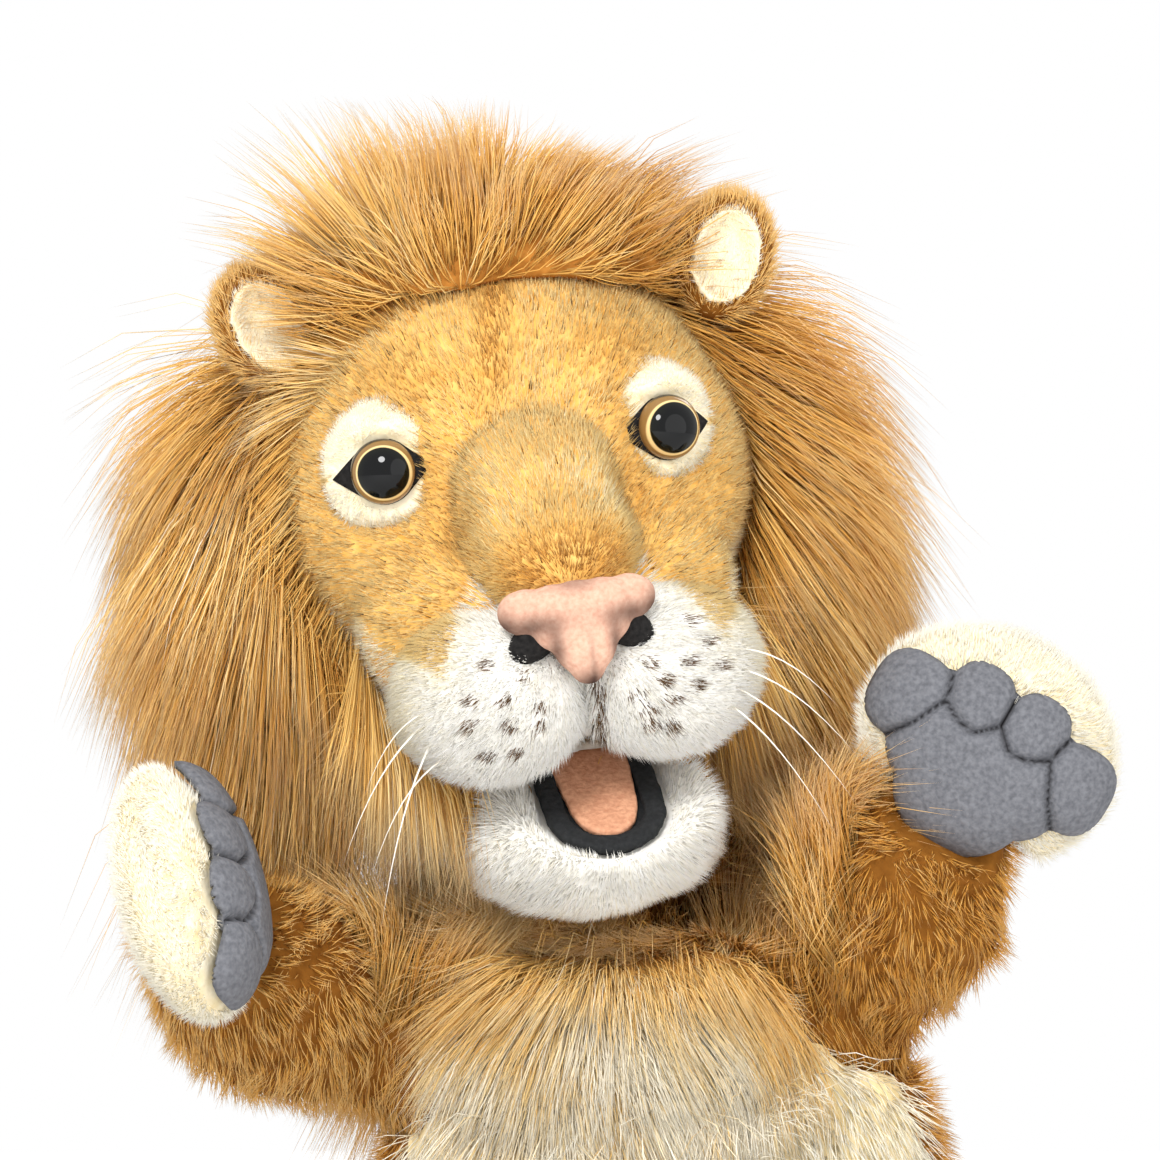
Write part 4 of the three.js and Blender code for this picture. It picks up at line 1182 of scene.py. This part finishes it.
def makeSole(side):
    wide, long, _ = soleForm["pawRadii"]
    deselectAll()
    bpy.ops.mesh.primitive_grid_add(x_subdivisions=round(2 * wide / soleForm["grain"]),
                                    y_subdivisions=round(2 * long / soleForm["grain"]), size=2)
    sole = bpy.context.object
    sole.name = f"pawSole{side.title()}"
    flat = cornersOf(sole.data) * (wide, long, 0)
    x, y = flat[:, 0], flat[:, 1]
    slack = soleForm["borderSlack"] * soleForm["grain"]
    for _ in range(2):  # pull the border onto the outline
        depth = outerDepth(x, y)
        step = 0.05
        slopeX = (outerDepth(x + step, y) - depth) / step
        slopeY = (outerDepth(x, y + step) - depth) / step
        border = (depth < 0) & (depth > -slack)
        scale = np.where(border, depth / np.maximum(slopeX ** 2 + slopeY ** 2, 0.2), 0)
        x, y = x - slopeX * scale, y - slopeY * scale
    lobes = np.sort(lobeDepths(x, y), axis=0)
    depth, split = lobes[-1], lobes[-1] - lobes[-2]
    meets = np.clip((lobes[-2] + soleForm["meeting"]) / soleForm["meeting"], 0, 1)
    crown = np.sqrt(np.clip(1 - (1 - np.clip(depth / soleForm["edge"], 0, 1)) ** 2, 0, 1))
    groove = soleForm["groove"] * np.exp(-(split / soleForm["grooveHalf"]) ** 2) * meets
    z = pawTop(x, y) + (soleForm["thickness"] * crown - groove)
    setCorners(sole, moved(np.stack((x, y, z), axis=1), pawPlace(side)))
    marked(sole, np.exp(-(split / soleForm["seam"]) ** 2) * meets)
    faces = np.array([face.vertices[:] for face in sole.data.polygons])
    firstX, firstY = x[faces[:, 2]] - x[faces[:, 0]], y[faces[:, 2]] - y[faces[:, 0]]
    otherX, otherY = x[faces[:, 3]] - x[faces[:, 1]], y[faces[:, 3]] - y[faces[:, 1]]
    areas = 0.5 * (firstX * otherY - firstY * otherX)
    outside = (depth[faces] < -0.05).any(axis=1) | (areas < soleForm["leastFace"] * soleForm["grain"] ** 2)
    bpy.context.tool_settings.mesh_select_mode = (False, False, True)
    editAll(sole)
    bpy.ops.mesh.select_all(action="DESELECT")
    leaveEdit()
    sole.data.polygons.foreach_set("select", outside)
    bpy.ops.object.mode_set(mode="EDIT")
    bpy.ops.mesh.delete(type="FACE")
    leaveEdit()
    bpy.context.tool_settings.mesh_select_mode = (True, False, False)
    print(sole.name, int((~outside).sum()), "faces kept of", len(outside))
    applied(sole, "SOLIDIFY", thickness=soleForm["cloth"] * mm, offset=-1)
    return dressed(sole, f"paw_{side}", soleVelour, (f"paw_sole_{side}",))


tuckForm = {"beside": 4, "over": 16, "fade": 6}


def tucked(piece, side, depth):  # the sole lies over the end of a sleeve and its lining
    def lowered(points):
        x, y, z = points.T
        over = z - pawTop(x, y) + depth
        near = np.clip((outerDepth(x, y) + tuckForm["beside"]) / tuckForm["beside"], 0, 1)
        near *= np.clip((tuckForm["over"] - over) / tuckForm["fade"], 0, 1)
        return np.stack((x, y, z - np.clip(over, 0, None) * near), axis=1)
    return reshaped(piece, pawPlace(side), lowered)


soleVelour = velourFinish("soleVelour", paint(94, 95, 100), paint(120, 121, 126), paint(34, 32, 34))
for side in sides:
    makeSole(side)
    tucked(pads[f"armSleeve{side.title()}"], side, soleForm["tuck"])
print("soles made")
for name, (node, body, outer) in innerSpecs.items():
    makeInner(name, node, body)
print("linings made")

# fur on the face

faceFur = {"count": 36000, "length": (3.0, 4.8), "width": 0.32, "rings": 2, "lift": 0.4, "stray": 0.12,
           "sway": 0.1, "span": 14, "seed": 11, "toneSpread": 0.05}
muzzleSpots = {
    "left": ((-22.4, -39.2), (-14.3, -42.9), (-27, -46.6), (-19.6, -47.7), (-11.6, -50.9), (-27.7, -52.1),
             (-19.2, -53.7), (-12.3, -54.8), (-24.3, -59.6), (-18, -60)),
    "right": ((14.9, -44.6), (23.2, -45.7), (30.2, -47.7), (28.5, -41.5), (17.3, -48.8), (24.2, -51.6),
              (18.3, -53.7), (11, -51.2), (13, -55), (13.1, -58.8), (17.9, -59.5), (26, -36)),
    "size": (2.1, 1.5), "past": 2, "shorter": 0.35, "contrast": (2.6, 0.6), "tone": 0.04,
    "seam": {"at": 2.6, "half": 0.9, "below": -44, "tone": 0.03},
}


tanForm = {
    "base": 0.64, "ripple": 0.03, "rippleSpan": 9, "fleck": 0.08, "fleckShare": 0.05,
    "bridgeFleck": 0.1, "bridgeFleckShare": 0.035,
    "stripe": {"depth": 0.36, "at": -12, "slant": 0.3, "half": 4.2, "above": 12, "fade": 10},
    "shades": (  # added tone, centre, radii, all on both sides
        (-0.24, (24, -42, 25), (12, 16, 6)), (-0.2, (20, -48, -6), (4, 16, 16)),
        (-0.1, (34, -38, -10), (12, 20, 5)), (-0.46, (0, -74, -21), (15, 16, 8)),
        (0.1, (12, -66, -4), (9, 20, 12)),
    ),
}


def tanTone(points):
    mirror = points * (1, 1, 1)
    mirror[:, 0] = np.abs(points[:, 0])
    form = tanForm["stripe"]
    across = points[:, 0] - (form["at"] + form["slant"] * points[:, 2])
    high = np.clip((points[:, 2] - form["above"]) / form["fade"], 0, 1)
    tone = tanForm["base"] - form["depth"] * np.exp(-(across / form["half"]) ** 2) * high
    for added, centre, radii in tanForm["shades"]:
        tone += added * bell(mirror, centre, radii)
    return tone + waves(points, tanForm["rippleSpan"], 5)[:, 0] * tanForm["ripple"]


def bridgeTone(points, rng):
    flecked = rng.random(len(points)) < tanForm["bridgeFleckShare"]
    return np.where(flecked, tanForm["bridgeFleck"], tanTone(points))


whiteForm = {
    "edge": ((15, 22, 30, 36, 43, 50), (-18, -27, -40, -33, -21, -16)),  # |x|, z of the tan's lower edge
    "blur": 1.6, "rough": 0.25, "tone": 0.98, "yellow": 0.1, "yellowOver": 5, "dimmer": 0.12, "dimFrom": 33,
    "dimOver": 8,
}


def faceTone(points, rng):
    edge = np.interp(np.abs(points[:, 0]), *whiteForm["edge"])
    rough = rng.normal(size=len(points)) * whiteForm["rough"]
    below = np.clip((edge - points[:, 2]) / whiteForm["blur"] + 0.5 + rough, 0, 1)
    yellow = whiteForm["yellow"] * np.exp(-np.clip(edge - points[:, 2], 0, None) / whiteForm["yellowOver"])
    beside = np.clip((np.abs(points[:, 0]) - whiteForm["dimFrom"]) / whiteForm["dimOver"], 0, 1)
    white = whiteForm["tone"] - yellow - whiteForm["dimmer"] * beside
    tone = tanTone(points) * (1 - below) + white * below
    fleck = (rng.random(len(points)) < tanForm["fleckShare"]) & (below < 0.5)
    return np.where(fleck, tanForm["fleck"], tone)


muzzleComb = away((0, -66, -36))


def nearSpot(points):  # where the strand shows, past its root
    points = points + muzzleComb(points) * muzzleSpots["past"]
    near = np.zeros(len(points))
    wide, tall = muzzleSpots["size"]
    for x, z in muzzleSpots["left"] + muzzleSpots["right"]:
        near = np.maximum(near, np.exp(-((points[:, 0] - x) / wide) ** 2 - ((points[:, 2] - z) / tall) ** 2))
    return near


def spotReach(points):
    return 1 - muzzleSpots["shorter"] * nearSpot(points)


def muzzleTone(points, rng):
    tone = faceTone(points, rng)
    gain, less = muzzleSpots["contrast"]
    spotted = rng.random(len(points)) < nearSpot(points) * gain - less
    tone = np.where(spotted, muzzleSpots["tone"], tone)
    form = muzzleSpots["seam"]
    seam = np.exp(-((points[:, 0] - form["at"]) / form["half"]) ** 2) * (points[:, 2] < form["below"])
    return np.where(rng.random(len(points)) < seam, form["tone"], tone)


hairEdge = {  # y, on the left and right, where the face's pile ends and where the mane's hair starts
    "face": (-17, 3), "hair": (-21, 0), "forward": 14, "from": 20, "over": 30,
    "faceTop": 50, "hairBack": 25, "hairLow": -45,
}


def faceEdge(points, which):
    left, right = hairEdge[which]
    high = np.clip((points[:, 2] - hairEdge["from"]) / hairEdge["over"], 0, 1)
    return np.where(points[:, 0] > 0, right, left) - hairEdge["forward"] * high


def onFace(points, facing):
    return (points[:, 1] < faceEdge(points, "face")) & (points[:, 2] < hairEdge["faceTop"])


muzzleFur = dict(faceFur, count=13500, length=(3.4, 5.2), width=0.3, lift=0.42, stray=0.1, span=10,
                 toneSpread=0.02, slot="white_plush")
snoutFur = dict(faceFur, count=13000, seed=12)
growFur("faceFur", headSkin, faceFur, "tan", away((0, -80, -32)), faceTone, onFace)
growFur("snoutFur", pads["snoutBridge"], snoutFur, "tan", away((0, -84, -36)), bridgeTone)
for side, sign in sides.items():
    title = side.title()
    growFur(f"muzzleFur{title}", pads[f"muzzlePad{title}"], dict(muzzleFur, seed=13 + sign), "tan", muzzleComb,
            muzzleTone, reach=spotReach)


def offFloor(points, facing):
    out, height, _ = fromLip(points)
    return (out > 0.6) | (height < -3)


def chinComb(points):
    middle = floorFrame() @ Vector((mouthFloor["aside"], mouthFloor["middle"], 0))
    return unit(unit(points - np.array(middle)) + np.array((0, 0, -0.15)))


def belowRim(points):  # short beside the lip
    return np.interp(fromLip(points)[0], (0, 6), (0.5, 1))


chinFur = dict(muzzleFur, length=(4.5, 6.5), width=0.32, lift=0.5, stray=0.08, sway=0.12, span=12, seed=21,
               lock=0.25, perLock=12)
growFur("chinFur", pads["chin"], chinFur, "tan", chinComb, 0.97, offFloor, belowRim)
almondRoom = {"below": -3, "round": 7.8, "corners": (12, 8.5), "lineFrom": 9.5, "lineHalf": 0.8}


def offAlmond(sign):
    place = eyeAt(sign).inverted() @ headPlace

    def allow(points, facing):
        x, y, z = moved(points, place).T
        wide, tall = almondRoom["corners"]
        outside = (np.hypot(x, y) > almondRoom["round"]) & (np.abs(x) / wide + np.abs(y) / tall > 1)
        return outside & (z > almondRoom["below"])
    return allow


def patchTone(sign):  # cream, with a brown line from each corner of the eye
    place = eyeAt(sign).inverted() @ headPlace

    def tone(points, rng):
        x, y, _ = moved(points, place).T
        line = np.exp(-(y / almondRoom["lineHalf"]) ** 2) * (np.abs(x) > almondRoom["lineFrom"])
        return 0.8 - 0.6 * line
    return tone


patchFur = dict(faceFur, count=4200, length=(1.6, 2.6), width=0.28, lift=0.5, stray=0.1, span=8)
earFur = dict(faceFur, count=4200, length=(3.5, 5.5), width=0.3, span=10, toneSpread=0.07)
for side, sign in sides.items():
    title = side.title()
    growFur(f"eyePatchFur{title}", pads[f"eyePatch{title}"], dict(patchFur, seed=31 + sign), "cream",
            away((sign * 30, -30, 5)), patchTone(sign), offAlmond(sign))
    growFur(f"earFur{title}", pads[f"ear{title}"], dict(earFur, seed=35 + sign), "amber",
            steady(0.3 * sign, 0.2, 0.9), 0.85)
    liningFur = dict(patchFur, count=2600, seed=38 + sign)
    growFur(f"earLiningFur{title}", pads[f"earLining{title}"], liningFur, "cream",
            steady(0.2 * sign, 0, 0.9), 0.8)


whiskerForm = {
    "width": 0.55, "rings": 9, "droop": 14, "curl": 2.2,
    "left": (((-36, -66, -50), (-0.62, -0.3, -0.35), 30), ((-35, -67, -54), (-0.5, -0.35, -0.62), 33),
             ((-33, -66, -58), (-0.72, -0.3, -0.3), 24), ((-34, -68, -47), (-0.8, -0.3, -0.1), 20)),
    "right": (((33, -69, -44), (0.8, -0.3, -0.1), 22), ((33, -69, -48), (0.75, -0.3, -0.32), 26),
              ((32, -70, -52), (0.68, -0.3, -0.5), 28), ((31, -69, -56), (0.6, -0.3, -0.62), 26)),
}


def makeWhiskers(side):
    share = np.linspace(0, 1, whiskerForm["rings"])[:, None]
    paths = []
    for root, way, length in whiskerForm[side]:
        straight = np.array(root) + unit(np.array(way)) * length * share
        paths.append(straight + np.array((0, 0, -whiskerForm["droop"])) * share ** whiskerForm["curl"])
    count = len(paths)
    piece = strandMesh(f"whiskers{side.title()}", moved(np.array(paths), headPlace),
                       np.full(count, whiskerForm["width"] * mm), np.full(count, 0.5))
    dressed(piece, "head", whiskerNylon, [f"whisker_{side}_{i}" for i in range(1, 5)])


whiskerNylon = plainFinish("whiskerNylon", paint(240, 232, 214), paint(254, 250, 242), 0.35)
for side in sides:
    makeWhiskers(side)
print("face dressed")

# the mane

maneFur = {"count": 9600, "length": (38, 58), "width": 0.36, "rings": 4, "lift": 0.16, "stray": 0.1,
           "sway": 0.2, "span": 26, "seed": 41, "bend": 0.5, "lock": 0.45, "perLock": 22, "toneSpread": 0.09,
           "hover": 5}
under = {
    "head": ("maneCrown", "maneLeft", "maneRight", "maneNape", "armSleeveLeft", "armSleeveRight",
             "chestPanel", "maneCape", "chestBib", "chin"),
    "torso": ("armSleeveLeft", "armSleeveRight", "chestPanel", "backPanel", "maneCape", "chestBib"),
}
headHair = obstacle(headPlace, headSkin, *(pads[name] for name in under["head"]))
torsoHair = obstacle(bodyPlace, *(pads[name] for name in under["torso"]))
maneForm = {
    "tone": 0.56, "sunlit": 0.03, "sunlitOver": 40, "shaded": 0.1, "shadedOver": 30, "shadedAbove": (30, 45),
    "locks": (18, 8, 0.08), "wisps": (7, 9, 0.07),  # span, seed, change of tone
}


def ripple(points, span, seed, change):
    return waves(points, span, seed)[:, 0] * change


def maneTone(points, rng):
    sunlit = maneForm["sunlit"] * np.clip(-points[:, 0] / maneForm["sunlitOver"], 0, 1)
    beside = np.clip(points[:, 0] / maneForm["shadedOver"], 0, 1)
    shaded = maneForm["shaded"] * beside * fade(points[:, 2], *maneForm["shadedAbove"])
    tone = maneForm["tone"] + sunlit - shaded
    return tone + ripple(points, *maneForm["locks"]) + ripple(points, *maneForm["wisps"])


def growMane(name, skin, comb, solid, tone=maneTone, allow=None, reach=None, rise=None, **changes):
    growFur(name, skin, dict(maneFur, **changes), "mane", comb, tone, allow, reach, solid, rise)


hairFall = {  # ways in the part's frame: close to the face, and further out
    "left": {"out": (-0.85, 0.05, -0.5), "down": (-0.2, 0.1, -0.97)},
    "right": {"out": (0.82, 0.05, -0.55), "down": (0.32, 0.1, -0.94)},
    "middle": 8, "turnsFrom": 46, "turnsOver": 26, "lowOver": 60, "lowMost": 0.6,
    "nape": (0, 0.06, -1), "spread": 110, "crownFrom": (20, 45), "back": 0.5,
}


def inHead(way):
    return turned(np.array([way], float), headPlace.inverted())[0]


crownSweep = {  # along the brow: how far the hair leans to the right, and up
    "at": (-60, -40, -20, 4, 14, 40, 60),
    "right": (-0.95, -0.6, -0.15, 0.0, 0.55, 0.9, 1.0),
    "up": (0.0, 0.5, 0.9, 0.85, 0.5, 0.15, -0.3),
}


def crownComb(points):
    right = np.interp(points[:, 0], crownSweep["at"], crownSweep["right"])
    up = np.interp(points[:, 0], crownSweep["at"], crownSweep["up"])
    return unit(np.stack((right, np.full(len(points), hairFall["back"]), up), axis=1))


def sideComb(side):
    out, down = inHead(hairFall[side]["out"]), inHead(hairFall[side]["down"])

    def comb(points):
        far = (np.abs(points[:, 0] - hairFall["middle"]) - hairFall["turnsFrom"]) / hairFall["turnsOver"]
        low = np.clip(-points[:, 2] / hairFall["lowOver"], 0, hairFall["lowMost"])
        share = np.clip(far + low, 0, 1)[:, None]
        return unit(out * (1 - share) + down * share)
    return comb


def napeComb(points):
    spread = (points[:, :1] - hairFall["middle"]) / hairFall["spread"] * np.array((1, 0, 0))
    return unit(inHead(hairFall["nape"]) + spread)


def hairComb(points):
    high = fade(points[:, 2], *hairFall["crownFrom"])[:, None]
    beside = np.where(points[:, :1] > 0, sideComb("right")(points), sideComb("left")(points))
    return unit(beside * (1 - high) + crownComb(points) * high)


def atHairline(points, facing):
    behind = points[:, 1] > faceEdge(points, "hair")
    return behind & (points[:, 1] < hairEdge["hairBack"]) & (points[:, 2] > hairEdge["hairLow"])


throatArea = {"middle": 30, "front": (-20, -30), "back": 16, "below": -26}  # y at the middle and beside it


def underJaw(points, facing):
    middle, beside = throatArea["front"]
    front = np.where(np.abs(points[:, 0]) < throatArea["middle"], middle, beside)
    inner = (points[:, 1] > front) & (points[:, 1] < throatArea["back"])
    return inner & (points[:, 2] < throatArea["below"])


reachForm = {
    "low": {"longer": 0.45, "from": -15, "over": 35},
    "hairline": ((5, 35), (1, 0.72)),
    "tuft": {"base": 0.7, "uneven": (10, 4, 0.26)},
    "tufts": (  # added length, centre, radii
        (0.7, (36, -6, 46), (16, 24, 20)), (-0.3, (16, -10, 58), (9, 30, 30)),
        (0.8, (-15, -14, 56), (11, 20, 30)),
    ),
}


def lowLonger(points):
    form = reachForm["low"]
    return 1 + form["longer"] * np.clip((form["from"] - points[:, 2]) / form["over"], 0, 1)


def tuft(points):  # longest over the middle of the brow, in uneven locks
    reach = reachForm["tuft"]["base"] + ripple(points, *reachForm["tuft"]["uneven"])
    for added, centre, radii in reachForm["tufts"]:
        reach = reach + added * bell(points, centre, radii)
    return reach


def hairlineReach(points):
    return lowLonger(points) * np.interp(points[:, 2], *reachForm["hairline"])


growMane("maneCrownFur", pads["maneCrown"], crownComb, headHair, reach=tuft,
         count=9200, lift=0.24, length=(22, 38), lock=0.62, perLock=34)
for side, sign in sides.items():
    growMane(f"maneFur{side.title()}", pads[f"mane{side.title()}"], sideComb(side), headHair, reach=lowLonger,
             seed=42 + sign)
growMane("maneNapeFur", pads["maneNape"], napeComb, headHair, reach=lowLonger, count=6000, seed=45, rings=3)
growMane("hairlineFur", headSkin, hairComb, headHair, allow=atHairline, reach=hairlineReach,
         count=8000, length=(22, 36), lift=0.24, seed=48, rings=3)
growMane("throatFur", headSkin, napeComb, headHair, allow=underJaw,
         count=6000, length=(40, 62), lift=0.2, seed=49, rings=3)

chestForm = {
    "middle": -8, "spread": 110, "forward": -0.12, "ruff": (98, 108), "ruffWay": (0, -0.8, 0.7),
    "tone": 0.44, "locks": (14, 8, 0.07), "paler": 0.54, "paleBelow": 113, "paleMiddle": -10,
    "paleBow": 0.012, "paleOver": 20, "collarAbove": 97, "collarFacing": 0.4, "collarTone": 0.45,
}
capeForm = {"neck": (-20, 10, 0), "spread": 75, "top": (112, 124), "topWay": (0, -0.3, 1)}


def chestComb(points):
    x, level = points[:, 0], 0 * points[:, 0]
    out = (x - chestForm["middle"]) / chestForm["spread"]
    return unit(np.stack((out, level + chestForm["forward"], level - 1), axis=1))


def ruffComb(points):  # the topmost hair stands up and forward before it falls
    up = fade(points[:, 2], *chestForm["ruff"])[:, None]
    return unit(chestComb(points) * (1 - up) + np.array(chestForm["ruffWay"]) * up)


def bibTone(points, rng):  # brown reaches lower beside the arms than in the middle
    bow = chestForm["paleBow"] * (points[:, 0] - chestForm["paleMiddle"]) ** 2
    pale = np.clip((chestForm["paleBelow"] - bow - points[:, 2]) / chestForm["paleOver"], 0, 1)
    return chestForm["tone"] + ripple(points, *chestForm["locks"]) + pale * chestForm["paler"]


def onCollar(points, facing):
    return (points[:, 2] > chestForm["collarAbove"]) & (facing[:, 1] < chestForm["collarFacing"])


def capeComb(points):  # down and away from the neck
    outward = (points - np.array(capeForm["neck"])) / capeForm["spread"] * (1, 1, 0)
    return unit(outward + np.array((0, 0, -1)))


def capeRise(points):
    up = fade(points[:, 2], *capeForm["top"])[:, None]
    return unit(capeComb(points) * (1 - up) + np.array(capeForm["topWay"]) * up)


growMane("chestBibFur", pads["chestBib"], chestComb, torsoHair, bibTone, rise=ruffComb,
         count=9500, width=0.32, seed=46, lift=0.14, length=(18, 32), sway=0.3, rings=3)
growMane("collarFur", pads["chestPanel"], chestComb, torsoHair, chestForm["collarTone"], onCollar,
         rise=steady(0, -0.7, 0.7), count=5000, seed=50, lift=0.4, length=(14, 22), rings=3)
growMane("maneCapeFur", pads["maneCape"], capeComb, torsoHair, rise=capeRise,
         count=6000, seed=47, length=(26, 44), rings=3)
shoulderHair = {"left": (-64, -28), "right": (12, 42), "above": 84, "front": 0.3, "top": 0.2}


def onShoulder(side):  # long hair over the top of each sleeve
    low, high = shoulderHair[side]

    def allow(points, facing):
        inner = (points[:, 0] > low) & (points[:, 0] < high) & (points[:, 2] > shoulderHair["above"])
        seen = (facing[:, 1] < shoulderHair["front"]) | (facing[:, 2] > shoulderHair["top"])
        return inner & seen
    return allow


for side, sign in sides.items():
    growMane(f"shoulderFur{side.title()}", pads[f"armSleeve{side.title()}"], chestComb, torsoHair,
             allow=onShoulder(side), rise=steady(-0.3 * sign, -0.3, 0.9),
             count=4200, length=(24, 40), lift=0.22, seed=63 + sign, rings=3)
print("mane dressed")

# body, arms and paws

plushFur = {"count": 17000, "length": (5.5, 9), "width": 0.35, "rings": 2, "lift": 0.5, "stray": 0.14,
            "sway": 0.3, "span": 12, "seed": 51, "bend": 0.2, "lock": 0.35, "perLock": 10, "toneSpread": 0.1}
bellyFur = dict(plushFur, count=8500, length=(10, 16), width=0.36, rings=3, lift=0.4)


bodyForm = {"middle": (0, 0, 60), "from": 10, "to": 104, "tone": 0.84, "darker": 0.6, "darkFrom": (88, 98)}


def outside(points, facing):
    outward = ((points - np.array(bodyForm["middle"])) * facing).sum(axis=1) > 0
    return outward & (points[:, 2] > bodyForm["from"]) & (points[:, 2] < bodyForm["to"])


def ruffTone(points, rng):
    return bodyForm["tone"] - bodyForm["darker"] * fade(points[:, 2], *bodyForm["darkFrom"])


growFur("bellyFur", pads["chestPanel"], bellyFur, "cream", steady(0, -0.1, -1), ruffTone, outside)
backFur = dict(plushFur, count=13000, seed=52)
growFur("backFur", pads["backPanel"], backFur, "amber", steady(0, 0.1, -1), 0.6, outside)

sleeveForm = {
    "left": 0.76, "right": 0.62,  # tone: the left sleeve's pile is painted lighter than the right's, painted light on one of two copies of the same pile
    "free": (-6, 5), "freeBeside": -1.5,  # heights over the paw, and how far inside the sole, without pile
    "near": (-14, -6), "nearOver": 12, "down": (0, -0.1, -1), "middle": -4, "under": -4,
}
pawForm = {"soleFrom": 2, "soleInside": 0.8, "rim": 8, "up": 0.3, "tone": 0.9}


def offSole(points, facing):
    beside = outerDepth(points[:, 0], points[:, 1]) < pawForm["soleInside"]
    return (points[:, 2] < pawForm["soleFrom"]) | beside


def offPaw(side):  # none of the sleeve's pile lies over the sole
    place = pawPlace(side).inverted() @ bodyPlace
    low, high = sleeveForm["free"]

    def allow(points, facing):
        x, y, z = moved(points, place).T
        over = z - pawTop(x, y)
        return (over < low) | (over > high) | (outerDepth(x, y) < sleeveForm["freeBeside"])
    return allow


def sleeveComb(side):  # down the arm, and away from the sole beside it
    place = pawPlace(side).inverted() @ bodyPlace
    spin = np.array(place.to_3x3().inverted())

    def comb(points):
        x, y, z = moved(points, place).T
        level = np.abs(z - pawTop(x, y)) < sleeveForm["nearOver"]
        near = fade(outerDepth(x, y), *sleeveForm["near"]) * level
        out = np.stack((x, y - sleeveForm["middle"], sleeveForm["under"] + 0 * z), axis=1)
        return unit(np.array(sleeveForm["down"]) * (1 - near)[:, None] + unit(out) @ spin.T * near[:, None])
    return comb


def pawComb(points):
    rim = np.clip(points[:, 2] / pawForm["rim"], 0, 1)[:, None]
    outward = unit(points * (1, 1, 0) + 1e-6)
    return unit(np.array((0, 1, 0)) * (1 - rim) + (outward + np.array((0, 0, pawForm["up"]))) * rim)


for side, sign in sides.items():
    title = side.title()
    growFur(f"sleeveFur{title}", pads[f"armSleeve{title}"], dict(plushFur, seed=54 + sign), "amber",
            sleeveComb(side), sleeveForm[side], offPaw(side))
    pawFur = dict(patchFur, count=11000, width=0.31, length=(2.8, 4.6), seed=57 + sign)
    growFur(f"pawFur{title}", pads[f"paw{title}"], pawFur, "cream", pawComb, pawForm["tone"], offSole)
print("fur grown")
shown = [piece for piece in bpy.context.scene.objects if piece.type == "MESH" and not piece.hide_render]
print("triangles in all", sum(len(face.vertices) - 2 for piece in shown for face in piece.data.polygons))
